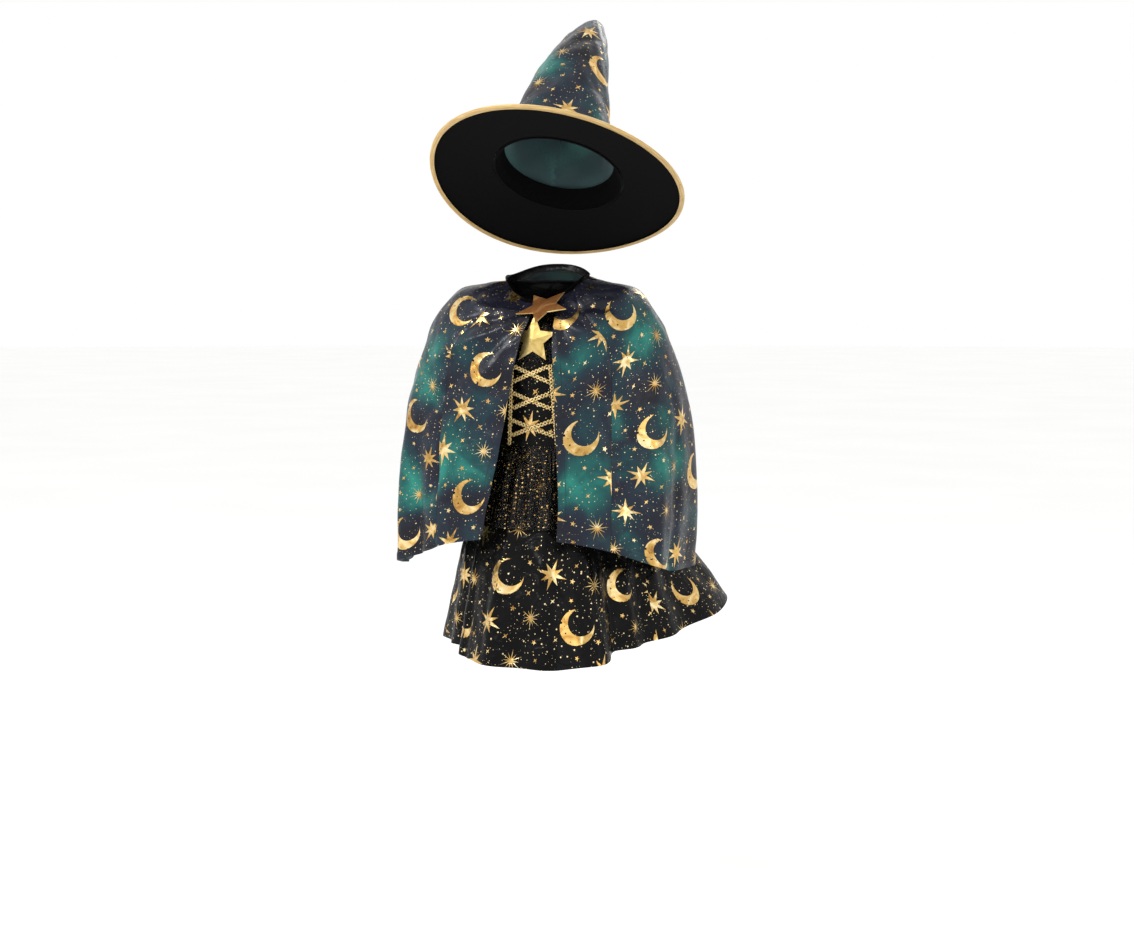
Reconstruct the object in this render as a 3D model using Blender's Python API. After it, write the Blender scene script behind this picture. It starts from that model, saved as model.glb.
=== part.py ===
"""Wizard costume for a child: a pointed hat, a short open cape and a dress, in their worn form and hollow.

Metres, +Z up, the front faces -Y and the wearer's left is +X. The origin is the middle of the neck's base.
Every cloth piece is a closed wall: the points of its outer face come from one function of the piece's
sizes, and the inner face lies one cloth's thickness under it.
"""
from collections import namedtuple
from math import asin, cos, pi, radians, sin

import bmesh
import bpy
import numpy as np
from mathutils import Matrix, Vector

# Cloths and the clearance that touching pieces keep
SATIN = 0.0015
MESH_CLOTH = 0.0010
STIFF_FELT = 0.0014
SEAM_GAP = 0.0003
SLOPE_STEP = 0.002

# Dress, from the neck's base
WAIST_HEIGHT = -0.216
CHEST_HEIGHT = -0.100
CHEST_DIP_AT_SIDE = 0.022
NECK_HALF_WIDTH = 0.052
NECK_SHARE = 0.5
NECK_SIDE_HEIGHT = 0.0109
SHOULDER_TIP_X = 0.088
SHOULDER_TIP_HEIGHT = 0.001
ARMHOLE_HALF_DEPTH = 0.042
DRESS_EDGE = 0.996
NeckCurve = namedtuple("NeckCurve", "depth height")
NECK_FRONT = NeckCurve(depth=0.048, height=-0.034)
NECK_BACK = NeckCurve(depth=0.046, height=0.012)
BodiceSection = namedtuple("BodiceSection", "height width front back")
BODICE = [
    BodiceSection(-0.216, 0.0970, 0.0800, 0.0740),
    BodiceSection(-0.185, 0.0965, 0.0825, 0.0730),
    BodiceSection(-0.150, 0.0990, 0.0860, 0.0740),
    BodiceSection(-0.120, 0.1030, 0.0880, 0.0765),
    BodiceSection(-0.095, 0.1040, 0.0880, 0.0780),
]

# Gold braid on the bodice: two uprights and three crossings between them
BRAID_WIDTH = 0.0066
BRAID_THICKNESS = 0.0018
BRAID_TOP_X = 0.0270
BRAID_WAIST_X = 0.0340
BRAID_TOP_HEIGHT = -0.1030
CROSSING_HEIGHTS = [-0.1160, -0.1530, -0.1910]
CROSSING_RISE = 0.0270

# Skirt and overlay
SKIRT_FLARE_CURVE = 1.0
SKIRT_WAVES = 13
SKIRT_WAVE_DEPTH = 0.0055
OVERLAY_SHARE = 0.385
OVERLAY_GATHERS = 28
OVERLAY_GATHER_DEPTH = 0.0024
OVERLAY_PUFF = 0.0058
HemPoint = namedtuple("HemPoint", "bearing reach height")
SKIRT_HEM = [
    HemPoint(-121, 0.154, -0.511),
    HemPoint(-106, 0.157, -0.513),
    HemPoint(-89, 0.164, -0.514),
    HemPoint(-70, 0.168, -0.514),
    HemPoint(-47, 0.164, -0.510),
    HemPoint(-34, 0.139, -0.503),
    HemPoint(-9, 0.149, -0.497),
    HemPoint(13, 0.190, -0.486),
    HemPoint(30, 0.252, -0.470),
    HemPoint(43, 0.298, -0.455),
    HemPoint(60, 0.262, -0.462),
    HemPoint(90, 0.205, -0.478),
    HemPoint(125, 0.185, -0.492),
    HemPoint(158, 0.168, -0.500),
    HemPoint(180, 0.155, -0.503),
    HemPoint(207, 0.124, -0.505),
]

# Cape, from the neck to the hem. Widths and depths are half sizes.
CAPE_SQUARENESS = 2.4
LEFT_SIDE_TRIM = 0.065
CapeSection = namedtuple("CapeSection", "down width front back z_front z_side z_back right_edge left_edge seam")
CAPE = [
    CapeSection(0.00, 0.056, 0.054, 0.052, -0.020, 0.0140, 0.030, -0.002, 0.034, 0.046),
    CapeSection(0.10, 0.090, 0.082, 0.076, -0.040, 0.0095, 0.012, -0.004, 0.033, 0.062),
    CapeSection(0.20, 0.127, 0.099, 0.094, -0.070, 0.0000, -0.016, -0.012, 0.033, 0.084),
    CapeSection(0.30, 0.157, 0.107, 0.107, -0.103, -0.0350, -0.052, -0.018, 0.037, 0.110),
    CapeSection(0.42, 0.180, 0.111, 0.120, -0.142, -0.0840, -0.096, -0.024, 0.041, 0.121),
    CapeSection(0.56, 0.202, 0.118, 0.136, -0.190, -0.1530, -0.152, -0.031, 0.045, 0.126),
    CapeSection(0.70, 0.211, 0.125, 0.159, -0.238, -0.2260, -0.214, -0.039, 0.050, 0.128),
    CapeSection(0.85, 0.214, 0.132, 0.184, -0.289, -0.3090, -0.272, -0.049, 0.054, 0.130),
    CapeSection(1.00, 0.211, 0.138, 0.205, -0.340, -0.3920, -0.330, -0.058, 0.053, 0.130),
]
BACK_SEAM_TURN = 0.40
CapeFold = namedtuple("CapeFold", "turn spread depth starts lean")
CAPE_FOLDS = [
    CapeFold(0.78, 0.030, -0.013, 0.45, 0.05),
    CapeFold(0.69, 0.030, 0.009, 0.35, 0.03),
    CapeFold(0.58, 0.028, -0.008, 0.30, -0.02),
    CapeFold(0.47, 0.030, 0.010, 0.35, -0.02),
    CapeFold(0.30, 0.035, -0.010, 0.30, 0.00),
    CapeFold(0.14, 0.045, 0.011, 0.25, 0.00),
    CapeFold(-0.04, 0.040, -0.011, 0.30, 0.00),
    CapeFold(-0.19, 0.045, 0.010, 0.25, 0.00),
    CapeFold(-0.33, 0.035, -0.003, 0.35, 0.00),
    CapeFold(-0.48, 0.032, 0.010, 0.30, 0.02),
    CapeFold(-0.60, 0.030, -0.009, 0.35, -0.02),
    CapeFold(-0.71, 0.034, 0.008, 0.40, -0.03),
    CapeFold(-0.84, 0.040, -0.006, 0.35, -0.04),
]
NECKBAND_RISE = 0.010
NECKBAND_LEAN = 0.003

# Foil stars
STAR_POINTS = 5
STAR_INNER_SHARE = 0.46
STAR_THICKNESS = 0.0016
STAR_CREST = 0.0034
StarSeat = namedtuple("StarSeat", "centre radius tip turn lean_back")
CLASP_STAR = StarSeat((0.0145, -0.0761, -0.0246), 0.0385, -18, -15, 46)
BODICE_STAR = StarSeat((0.0030, -0.0847, -0.0690), 0.0350, 90, -5, 10)

# Hat. Its own axis stands on the middle of the brim.
HAT_CENTRE = (0.0104, 0.0126, 0.1570)
HAT_TILT_BACK = 28.5
HAT_ROLL = 12
HAT_TURN = 15
BRIM_RADIUS = 0.1825
HEAD_RADIUS = 0.0960
BRIM_WAVE = 0.0035
BRIM_CUP = 0.006
BINDING_WIDTH = 0.0065
BINDING_CLOTH = 0.0009
HEADBAND_ROWS = 3
HEADBAND_THICKNESS = 0.0016
CrownSection = namedtuple("CrownSection", "along radius lean sway")
CROWN = [
    CrownSection(0.000, 0.0960, 0, 0.000),
    CrownSection(0.010, 0.0905, 0, -0.001),
    CrownSection(0.026, 0.0860, 0, -0.002),
    CrownSection(0.060, 0.0775, 0, -0.004),
    CrownSection(0.105, 0.0665, 0, -0.007),
    CrownSection(0.150, 0.0550, 4, -0.008),
    CrownSection(0.192, 0.0435, 12, -0.005),
    CrownSection(0.230, 0.0315, 23, -0.001),
    CrownSection(0.261, 0.0205, 32, 0.003),
    CrownSection(0.282, 0.0115, 38, 0.005),
    CrownSection(0.292, 0.0050, 40, 0.006),
]
CROWN_TIP_RISE = 0.0025
CROWN_SEAT = BRIM_CUP + STIFF_FELT + 1.5 * SEAM_GAP
RING_STEPS = 32

# Finishes: colour, roughness, metallic
Finish = namedtuple("Finish", "name colour roughness metallic")
GALAXY_SATIN = Finish("galaxy_satin", (0.020, 0.062, 0.072), 0.42, 0.0)
BLACK_SATIN = Finish("black_satin", (0.008, 0.008, 0.009), 0.45, 0.0)
BLACK_FELT = Finish("black_felt", (0.006, 0.006, 0.006), 0.9, 0.0)
BLACK_TULLE = Finish("black_tulle", (0.012, 0.011, 0.010), 0.7, 0.0)
GOLD_BINDING = Finish("gold_binding", (0.58, 0.40, 0.14), 0.45, 0.3)
GOLD_FOIL = Finish("gold_foil", (0.70, 0.45, 0.12), 0.3, 0.9)


def clear_scene():
    for item in list(bpy.data.objects):
        bpy.data.objects.remove(item, do_unlink=True)


def read_column(rows, column, at):
    """A smooth value of one column between the rows of a table. The first column says where each row is."""
    places = np.array([row[0] for row in rows], dtype=float)
    values = np.array([getattr(row, column) for row in rows], dtype=float)
    slopes = np.gradient(values, places)
    i = int(np.clip(np.searchsorted(places, at) - 1, 0, len(rows) - 2))
    span = places[i + 1] - places[i]
    t = (at - places[i]) / span
    rise, fall = t * t * (3 - 2 * t), t * (1 - t)
    bend = fall * ((1 - t) * slopes[i] - t * slopes[i + 1]) * span
    return float(values[i] * (1 - rise) + values[i + 1] * rise + bend)


def ease(start, end, at):
    t = min(max((at - start) / (end - start), 0.0), 1.0)
    return t * t * (3 - 2 * t)


def rounded(value, power):
    return abs(value) ** power * (1 if value >= 0 else -1)


def facing(place, across, down):
    """The outward direction of a surface whose first parameter runs anticlockwise seen from above."""
    along = place(across + SLOPE_STEP, down) - place(across - SLOPE_STEP, down)
    fall = place(across, down + SLOPE_STEP) - place(across, down - SLOPE_STEP)
    return fall.cross(along).normalized()


def raised(place, across, down, lift):
    return place(across, down) + facing(place, across, down) * lift


def give_finish(item, finish):
    material = bpy.data.materials.get(finish.name) or bpy.data.materials.new(finish.name)
    material.use_nodes = True
    shader = material.node_tree.nodes["Principled BSDF"]
    shader.inputs["Base Color"].default_value = (*finish.colour, 1)
    shader.inputs["Roughness"].default_value = finish.roughness
    shader.inputs["Metallic"].default_value = finish.metallic
    item.data.materials.append(material)


def make_object(name, mesh_builder, finish, smooth=True):
    mesh = bpy.data.meshes.new(name)
    bmesh.ops.recalc_face_normals(mesh_builder, faces=mesh_builder.faces)
    mesh_builder.to_mesh(mesh)
    mesh_builder.free()
    if smooth:
        mesh.shade_smooth()
        mesh.set_sharp_from_angle(angle=radians(50))
    item = bpy.data.objects.new(name, mesh)
    bpy.context.scene.collection.objects.link(item)
    give_finish(item, finish)
    return item


def cloth_wall(name, outer, across, down, columns, rows, thickness, finish, lift=0.0):
    """A wall of cloth on the surface outer(across, down), its outer face raised by lift."""
    sheet = bmesh.new()
    bmesh.ops.create_grid(sheet, x_segments=columns, y_segments=rows, size=0.5)
    across_at = sheet.verts.layers.float.new("across")
    down_at = sheet.verts.layers.float.new("down")
    for corner in sheet.verts:
        corner[across_at] = across[0] + (corner.co.x + 0.5) * (across[1] - across[0])
        corner[down_at] = down[0] + (corner.co.y + 0.5) * (down[1] - down[0])
    under = bmesh.ops.extrude_face_region(sheet, geom=sheet.faces[:])["geom"]
    under = {item for item in under if isinstance(item, bmesh.types.BMVert)}
    for corner in sheet.verts:
        depth = thickness if corner in under else 0.0
        rise = lift(corner[across_at], corner[down_at]) if callable(lift) else lift
        corner.co = raised(outer, corner[across_at], corner[down_at], rise - depth)
    return make_object(name, sheet, finish)


def ring_body(name, rings, finish, tips=None):
    """A closed body through rings of points. With tips, rings run up outside and down inside to two poles."""
    body = bmesh.new()
    loops = [[body.verts.new(point) for point in ring] for ring in rings]
    count = len(loops[0])
    pairs = list(zip(loops, loops[1:] + loops[:1]))
    if tips:
        top = len(loops) // 2
        del pairs[top - 1]
        for loop, tip in ((loops[top - 1], tips[0]), (loops[top], tips[1])):
            pole = body.verts.new(tip)
            for i in range(count):
                body.faces.new((loop[i], loop[(i + 1) % count], pole))
    for low, high in pairs:
        for i in range(count):
            j = (i + 1) % count
            body.faces.new((low[i], low[j], high[j], high[i]))
    return make_object(name, body, finish)


# Dress

def bodice_ring(across, height, back):
    width = read_column(BODICE, "width", height)
    depth = read_column(BODICE, "back" if back else "front", height)
    angle = across * pi / 2
    return Vector((width * sin(angle), depth * cos(angle) * (1 if back else -1), height))


def neck_and_shoulder(across, back):
    """The upper edge of a front or back: the neckline in the middle, then the shoulder seam."""
    curve = NECK_BACK if back else NECK_FRONT
    side = 1 if across >= 0 else -1
    out = abs(across)
    forward = 1 if back else -1
    if out <= NECK_SHARE:
        angle = out / NECK_SHARE * pi / 2
        height = curve.height + (NECK_SIDE_HEIGHT - curve.height) * sin(angle) ** 2
        return Vector((side * NECK_HALF_WIDTH * sin(angle), forward * curve.depth * cos(angle), height))
    along = (out - NECK_SHARE) / (1 - NECK_SHARE)
    x = NECK_HALF_WIDTH + (SHOULDER_TIP_X - NECK_HALF_WIDTH) * along
    height = NECK_SIDE_HEIGHT + (SHOULDER_TIP_HEIGHT - NECK_SIDE_HEIGHT) * along
    return Vector((side * x, 0, height))


def chest_line(across):
    return CHEST_HEIGHT - CHEST_DIP_AT_SIDE * across * across


def dress_surface(back):
    """Across runs from -1 to 1 between the side seams. Down is 0 at neck and shoulder, 1 at the chest, 2 at the waist."""
    forward = 1 if back else -1

    def place(across, down):
        across = min(max(across, -1.0), 1.0) * (-1 if back else 1)
        if down >= 1:
            height = chest_line(across) + (WAIST_HEIGHT - chest_line(across)) * (down - 1)
            return bodice_ring(across, height, back)
        low = bodice_ring(across, chest_line(across), back)
        high = neck_and_shoulder(across, back)
        climb = 1 - down
        scoop = ARMHOLE_HALF_DEPTH * sin(pi * climb) * abs(across) ** 3
        spread, rise = 1 - cos(climb * pi / 2), sin(climb * pi / 2)
        x = low.x + (high.x - low.x) * climb
        y = low.y + (high.y - low.y) * spread + forward * scoop
        z = low.z + (high.z - low.z) * rise
        return Vector((x, y, z))
    return place


dress_front = dress_surface(back=False)
dress_back = dress_surface(back=True)


def build_bodice():
    half = SEAM_GAP / 2 / BODICE[0].width
    seam = half * 2
    edge = DRESS_EDGE
    cloth_wall("yoke_front", dress_front, (-edge, edge), (0.004, 1 - seam), 16, 5, MESH_CLOTH, BLACK_TULLE)
    cloth_wall("bodice_front", dress_front, (-edge, edge), (1 + seam, 2 - seam), 16, 4, SATIN, BLACK_SATIN)
    for name, start, end in (("left", -edge, -seam), ("right", seam, edge)):
        cloth_wall(f"bodice_back_{name}", dress_back, (start, end), (0.004, 2 - seam), 8, 9, SATIN, BLACK_SATIN)


def build_neck_binding():
    lift = 2 * SEAM_GAP + MESH_CLOTH
    reach = NECK_SHARE * DRESS_EDGE
    for name, surface, cloth in (("front", dress_front, MESH_CLOTH), ("back", dress_back, SATIN)):
        cloth_wall(f"neck_binding_{name}", surface, (-reach, reach), (0.012, 0.085), 8, 1, MESH_CLOTH,
                   BLACK_SATIN, lift=lift)


def strip_on_bodice(name, start, end, over=0.0):
    """A braid laid on the bodice front from start to end, each an x and a height. Over lifts its middle."""
    start, end = Vector(start), Vector(end)
    length = (end - start).length
    side = Vector((start.y - end.y, end.x - start.x)) / length * BRAID_WIDTH

    def place(across, down):
        flat = start + (end - start) * across + side * (0.5 - down)
        x, height = flat.x, flat.y
        angle = asin(x / read_column(BODICE, "width", height)) / (pi / 2)
        return bodice_ring(angle, height, back=False)

    def lift(across, down):
        hump = ease(0.02, 0.3, across) * ease(0.02, 0.3, 1 - across)
        return SEAM_GAP + BRAID_THICKNESS + over * hump

    columns = max(6, round(length / 0.006))
    cloth_wall(name, place, (0, 1), (0, 1), columns, 1, BRAID_THICKNESS, GOLD_BINDING, lift=lift)


def braid_x(height):
    share = (height - BRAID_TOP_HEIGHT) / (WAIST_HEIGHT - BRAID_TOP_HEIGHT)
    return BRAID_TOP_X + (BRAID_WAIST_X - BRAID_TOP_X) * share


def build_braids():
    bottom = WAIST_HEIGHT + 0.0012
    for name, side in (("right", -1), ("left", 1)):
        strip_on_bodice(f"braid_{name}", (side * BRAID_WAIST_X, bottom), (side * BRAID_TOP_X, BRAID_TOP_HEIGHT))
    inset = BRAID_WIDTH / 2 + BRAID_WIDTH * 0.34
    for number, middle in enumerate(CROSSING_HEIGHTS, start=1):
        low, high = middle - CROSSING_RISE / 2 + 0.003, middle + CROSSING_RISE / 2 - 0.003
        low_x, high_x = braid_x(low) - inset, braid_x(high) - inset
        strip_on_bodice(f"lace_{number}_falling", (-high_x, high), (low_x, low))
        strip_on_bodice(f"lace_{number}_rising", (-low_x, low), (high_x, high), over=BRAID_THICKNESS + 3 * SEAM_GAP)


# Skirt and overlay

def hem_rows():
    first = [HemPoint(row.bearing - 360, row.reach, row.height) for row in SKIRT_HEM[-3:]]
    last = [HemPoint(row.bearing + 360, row.reach, row.height) for row in SKIRT_HEM[:3]]
    return first + SKIRT_HEM + last


HEM_ROWS = hem_rows()


def skirt_surface(bearing, down):
    """Bearing in degrees from +X towards +Y, and down from 0 at the waist to 1 at the hem."""
    bearing = (bearing + 150) % 360 - 150
    angle = radians(bearing)
    width = read_column(BODICE, "width", WAIST_HEIGHT)
    depth = read_column(BODICE, "back" if sin(angle) > 0 else "front", WAIST_HEIGHT)
    waist = 1 / ((cos(angle) / width) ** 2 + (sin(angle) / depth) ** 2) ** 0.5
    reach = read_column(HEM_ROWS, "reach", bearing)
    height = read_column(HEM_ROWS, "height", bearing)
    wave = SKIRT_WAVE_DEPTH * sin(SKIRT_WAVES * angle + sin(2 * angle)) * ease(0.05, 1.0, down)
    radius = waist + (reach - waist) * max(down, 0) ** SKIRT_FLARE_CURVE + wave
    z = WAIST_HEIGHT + (height - WAIST_HEIGHT) * down
    return Vector((radius * cos(angle), radius * sin(angle), z))


def skirt_place(turn, down):
    return skirt_surface(turn * 180, down)


def overlay_lift(turn, down):
    share = down / OVERLAY_SHARE
    gather = OVERLAY_GATHER_DEPTH * sin(OVERLAY_GATHERS * turn * pi) * ease(0.0, 0.5, share)
    return SEAM_GAP + MESH_CLOTH + OVERLAY_PUFF * ease(0.0, 0.35, share) + gather


def build_skirt():
    gap = 0.0007
    start = 0.0014
    halves = (("front", -1 + gap, -gap), ("back", gap, 1 - gap))
    for name, low, high in halves:
        cloth_wall(f"skirt_{name}", skirt_place, (low, high), (start, 1), 46, 7, SATIN, BLACK_SATIN)
        cloth_wall(f"overlay_{name}", skirt_place, (low, high), (start, OVERLAY_SHARE), 64, 3, MESH_CLOTH,
                   BLACK_TULLE, lift=overlay_lift)


# Cape

def cape_turn_at(x, width):
    """How far round from the back the cape's section reaches this x on its front half, as an angle."""
    share = min(abs(x) / width, 1.0)
    return pi - asin(share ** (CAPE_SQUARENESS / 2))


def cape_surface(turn, down):
    """Turn is -1 at the left front edge, 0 at the back's middle and 1 at the right front edge."""
    section = {name: read_column(CAPE, name, down) for name in CapeSection._fields[1:]}
    edge = section["right_edge"] if turn > 0 else section["left_edge"]
    side = -1 if turn >= 0 else 1
    angle = abs(turn) * cape_turn_at(edge, section["width"])
    power = 2 / CAPE_SQUARENESS
    c, s = cos(angle), sin(angle)
    trim = 1 - LEFT_SIDE_TRIM * ease(0.1, 0.6, down) * (side > 0) * (1 - max(c, 0))
    depth = section["back"] if c > 0 else section["front"]
    x = side * section["width"] * trim * rounded(s, power)
    y = depth * rounded(c, power)
    far = section["z_back"] if c > 0 else section["z_front"]
    z = section["z_side"] + (far - section["z_side"]) * c * c
    outward = Vector((x / section["width"] ** 2, y / depth ** 2, 0)).normalized()
    fold = 0.0
    for row in CAPE_FOLDS:
        centre = row.turn + row.lean * (down - 1)
        fold += row.depth * np.exp(-((turn - centre) / row.spread) ** 2) * ease(row.starts, 1.0, down)
    return Vector((x, y, z)) + outward * fold


def front_seam_turn(down, side):
    width = read_column(CAPE, "width", down)
    seam = read_column(CAPE, "seam", down)
    edge = read_column(CAPE, "left_edge" if side > 0 else "right_edge", down)
    return cape_turn_at(seam, width) / cape_turn_at(edge, width)


def cape_panel(start, end, side):
    """A surface between two seams, each a function of down, for one side of the cape."""
    def place(across, down):
        low, high = start(down), end(down)
        return cape_surface(-side * (low + (high - low) * across), down)
    return place


def build_cape():
    gap = 0.0018
    for name, side in (("right", -1), ("left", 1)):
        seam = lambda down, side=side: front_seam_turn(down, side)
        front = cape_panel(lambda down: seam(down) + gap, lambda down: 1.0, side)
        flank = cape_panel(lambda down: BACK_SEAM_TURN + gap, lambda down: seam(down) - gap, side)
        across = (1, 0) if side > 0 else (0, 1)
        cloth_wall(f"cape_front_{name}", front, across, (0, 1), 7, 12, SATIN, GALAXY_SATIN)
        cloth_wall(f"cape_side_{name}", flank, across, (0, 1), 11, 12, SATIN, GALAXY_SATIN)
    cloth_wall("cape_back", cape_surface, (-BACK_SEAM_TURN + gap, BACK_SEAM_TURN - gap), (0, 1), 20, 12, SATIN,
               GALAXY_SATIN)
    build_neckband()


def neckband_surface(turn, up):
    base = cape_surface(turn, 0)
    outward = Vector((base.x, base.y, 0)).normalized()
    rise = NECKBAND_RISE * up
    return base + outward * NECKBAND_LEAN * up * up + Vector((0, 0, rise + 3 * SEAM_GAP))


def build_neckband():
    place = lambda turn, down: neckband_surface(turn, 1 - down)
    cloth_wall("cape_neckband", place, (-0.99, 0.99), (0, 0.96), 28, 1, SATIN, BLACK_SATIN)


# Stars and hat

def build_star(name, seat):
    """A foil star, embossed: its crests run from the middle to the tips."""
    star = bmesh.new()
    outline = []
    for i in range(2 * STAR_POINTS):
        angle = radians(seat.tip) + i * pi / STAR_POINTS
        reach = seat.radius * (1 if i % 2 == 0 else STAR_INNER_SHARE)
        outline.append((reach * cos(angle), reach * sin(angle)))
    back = [star.verts.new((x, 0, z)) for x, z in outline]
    front = [star.verts.new((x, -STAR_THICKNESS, z)) for x, z in outline]
    peak = star.verts.new((0, -STAR_CREST, 0))
    star.faces.new(back)
    for i in range(len(outline)):
        j = (i + 1) % len(outline)
        star.faces.new((back[i], back[j], front[j], front[i]))
        star.faces.new((front[i], front[j], peak))
    seat_at = Matrix.Translation(seat.centre) @ Matrix.Rotation(radians(seat.turn), 4, "Z")
    seat_at = seat_at @ Matrix.Rotation(radians(-seat.lean_back), 4, "X")
    bmesh.ops.transform(star, matrix=seat_at, verts=star.verts)
    return make_object(name, star, GOLD_FOIL, smooth=False)


HAT_FRAME = (Matrix.Translation(HAT_CENTRE) @ Matrix.Rotation(radians(HAT_TURN), 4, "Z")
             @ Matrix.Rotation(radians(HAT_ROLL), 4, "Y") @ Matrix.Rotation(radians(-HAT_TILT_BACK), 4, "X"))


def brim_height(radius, angle):
    share = (radius - HEAD_RADIUS) / (BRIM_RADIUS - HEAD_RADIUS)
    return BRIM_CUP * (1 - share) ** 2 + BRIM_WAVE * share * sin(2 * angle + 0.6)


def brim_ring(radius, lift):
    points = []
    for i in range(RING_STEPS):
        angle = 2 * pi * i / RING_STEPS
        spot = Vector((radius * cos(angle), radius * sin(angle), brim_height(radius, angle) + lift))
        points.append(HAT_FRAME @ spot)
    return points


def crown_axis(along):
    """A point on the crown's bent middle line and the lean of the line there."""
    steps = 24
    y = z = 0.0
    for i in range(steps):
        lean = radians(read_column(CROWN, "lean", along * (i + 0.5) / steps))
        y += sin(lean) * along / steps
        z += cos(lean) * along / steps
    return Vector((read_column(CROWN, "sway", along), y, z)), radians(read_column(CROWN, "lean", along))


def crown_ring(section, shrink):
    middle, lean = crown_axis(section.along)
    points = []
    for i in range(RING_STEPS):
        angle = 2 * pi * i / RING_STEPS
        x, y = (section.radius - shrink) * cos(angle), (section.radius - shrink) * sin(angle)
        spot = middle + Vector((x, y * cos(lean), -y * sin(lean)))
        spot.z += CROWN_SEAT
        points.append(HAT_FRAME @ spot)
    return points


def build_hat():
    inner, outer = HEAD_RADIUS + SEAM_GAP, BRIM_RADIUS - SEAM_GAP - BINDING_CLOTH
    radii = [inner + (outer - inner) * share for share in (0, 0.2, 0.5, 1)]
    for name, low, finish in (("top", SEAM_GAP / 2, GALAXY_SATIN), ("under", -SEAM_GAP / 2 - STIFF_FELT, BLACK_FELT)):
        upper = [brim_ring(radius, low + STIFF_FELT) for radius in radii]
        lower = [brim_ring(radius, low) for radius in reversed(radii)]
        ring_body(f"hat_brim_{name}", upper + lower, finish)
    rise = STIFF_FELT + 1.5 * SEAM_GAP
    wrap = BRIM_RADIUS - BINDING_WIDTH
    outside = [brim_ring(wrap, rise + BINDING_CLOTH), brim_ring(BRIM_RADIUS - BINDING_CLOTH, rise + BINDING_CLOTH),
               brim_ring(BRIM_RADIUS, 0), brim_ring(BRIM_RADIUS - BINDING_CLOTH, -rise - BINDING_CLOTH),
               brim_ring(wrap, -rise - BINDING_CLOTH)]
    inside = [brim_ring(wrap, -rise), brim_ring(BRIM_RADIUS - BINDING_CLOTH, -rise),
              brim_ring(BRIM_RADIUS - BINDING_CLOTH, rise), brim_ring(wrap, rise)]
    ring_body("hat_binding", outside + inside, GOLD_BINDING)

    shell = [crown_ring(section, 0) for section in CROWN]
    lining = [crown_ring(section, SATIN) for section in reversed(CROWN)]
    peak, lean = crown_axis(CROWN[-1].along)
    peak += Vector((0, sin(lean), cos(lean))) * CROWN_TIP_RISE + Vector((0, 0, CROWN_SEAT))
    depth = Vector((0, sin(lean), cos(lean))) * SATIN
    ring_body("hat_crown", shell + lining, GALAXY_SATIN, tips=(HAT_FRAME @ peak, HAT_FRAME @ (peak - depth)))

    outside = [crown_ring(section, SATIN + 2 * SEAM_GAP) for section in CROWN[:HEADBAND_ROWS]]
    inside = [crown_ring(section, SATIN + 2 * SEAM_GAP + HEADBAND_THICKNESS) for section in CROWN[:HEADBAND_ROWS]]
    ring_body("hat_headband", outside + inside[::-1], BLACK_FELT)


clear_scene()
build_bodice()
build_neck_binding()
build_braids()
build_star("bodice_star", BODICE_STAR)
build_skirt()
build_cape()
build_star("cape_clasp_star", CLASP_STAR)
build_hat()
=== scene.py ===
"""A child's wizard costume in its worn form: a pointed hat, a short open cape and a laced dress.

Metres, +Z up, the front faces -Y and the wearer's left is +X. Each cloth is laid on the form of its solid
as a lattice of points, with its folds and hems pressed in, and is then given its thickness. The same lattice
says where the foil print and the stitches lie, and the braid follows the bodice's form.
"""

from collections import namedtuple
from math import cos, pi, radians, sin

import bpy
import numpy as np
from mathutils import Matrix, Vector


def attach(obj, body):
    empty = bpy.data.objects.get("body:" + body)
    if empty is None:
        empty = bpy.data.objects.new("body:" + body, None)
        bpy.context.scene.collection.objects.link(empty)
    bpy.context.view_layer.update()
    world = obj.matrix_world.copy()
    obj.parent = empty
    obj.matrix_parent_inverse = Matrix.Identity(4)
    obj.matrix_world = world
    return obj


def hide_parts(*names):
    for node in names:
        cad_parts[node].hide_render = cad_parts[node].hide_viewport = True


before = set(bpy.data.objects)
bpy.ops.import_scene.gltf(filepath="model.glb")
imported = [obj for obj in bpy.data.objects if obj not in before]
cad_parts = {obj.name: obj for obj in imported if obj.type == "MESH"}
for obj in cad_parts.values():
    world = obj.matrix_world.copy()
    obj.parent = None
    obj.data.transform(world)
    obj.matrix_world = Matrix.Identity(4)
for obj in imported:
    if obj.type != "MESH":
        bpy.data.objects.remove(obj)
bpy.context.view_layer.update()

# Cloths
CLOTH = 0.0006
FELT = 0.0012
NET = 0.0004
SEAM_GAP = 0.0003

# Dress
WAIST_HEIGHT = -0.216
CHEST_HEIGHT = -0.100
CHEST_DIP_AT_SIDE = 0.022
NECK_HALF_WIDTH = 0.052
NECK_SHARE = 0.5
NECK_SIDE_HEIGHT = 0.0109
SHOULDER_TIP_X = 0.088
SHOULDER_TIP_HEIGHT = 0.001
ARMHOLE_HALF_DEPTH = 0.042
DRESS_EDGE = 0.996
NeckCurve = namedtuple("NeckCurve", "depth height")
NECK_FRONT = NeckCurve(depth=0.048, height=-0.034)
NECK_BACK = NeckCurve(depth=0.046, height=0.012)
BodiceSection = namedtuple("BodiceSection", "height width front back")
BODICE = [
    BodiceSection(-0.216, 0.0970, 0.0800, 0.0740),
    BodiceSection(-0.185, 0.0965, 0.0825, 0.0730),
    BodiceSection(-0.150, 0.0990, 0.0860, 0.0740),
    BodiceSection(-0.120, 0.1030, 0.0880, 0.0765),
    BodiceSection(-0.095, 0.1040, 0.0880, 0.0780),
]

# Gold braid on the bodice
BRAID_WIDTH = 0.0066
BRAID_TOP_X = 0.0270
BRAID_WAIST_X = 0.0340
BRAID_TOP_HEIGHT = -0.1030
CROSSING_HEIGHTS = [-0.1160, -0.1530, -0.1910]
CROSSING_RISE = 0.0270
BRAID_LOOP = 0.0098
BRAID_CORD = 0.00118

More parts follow.
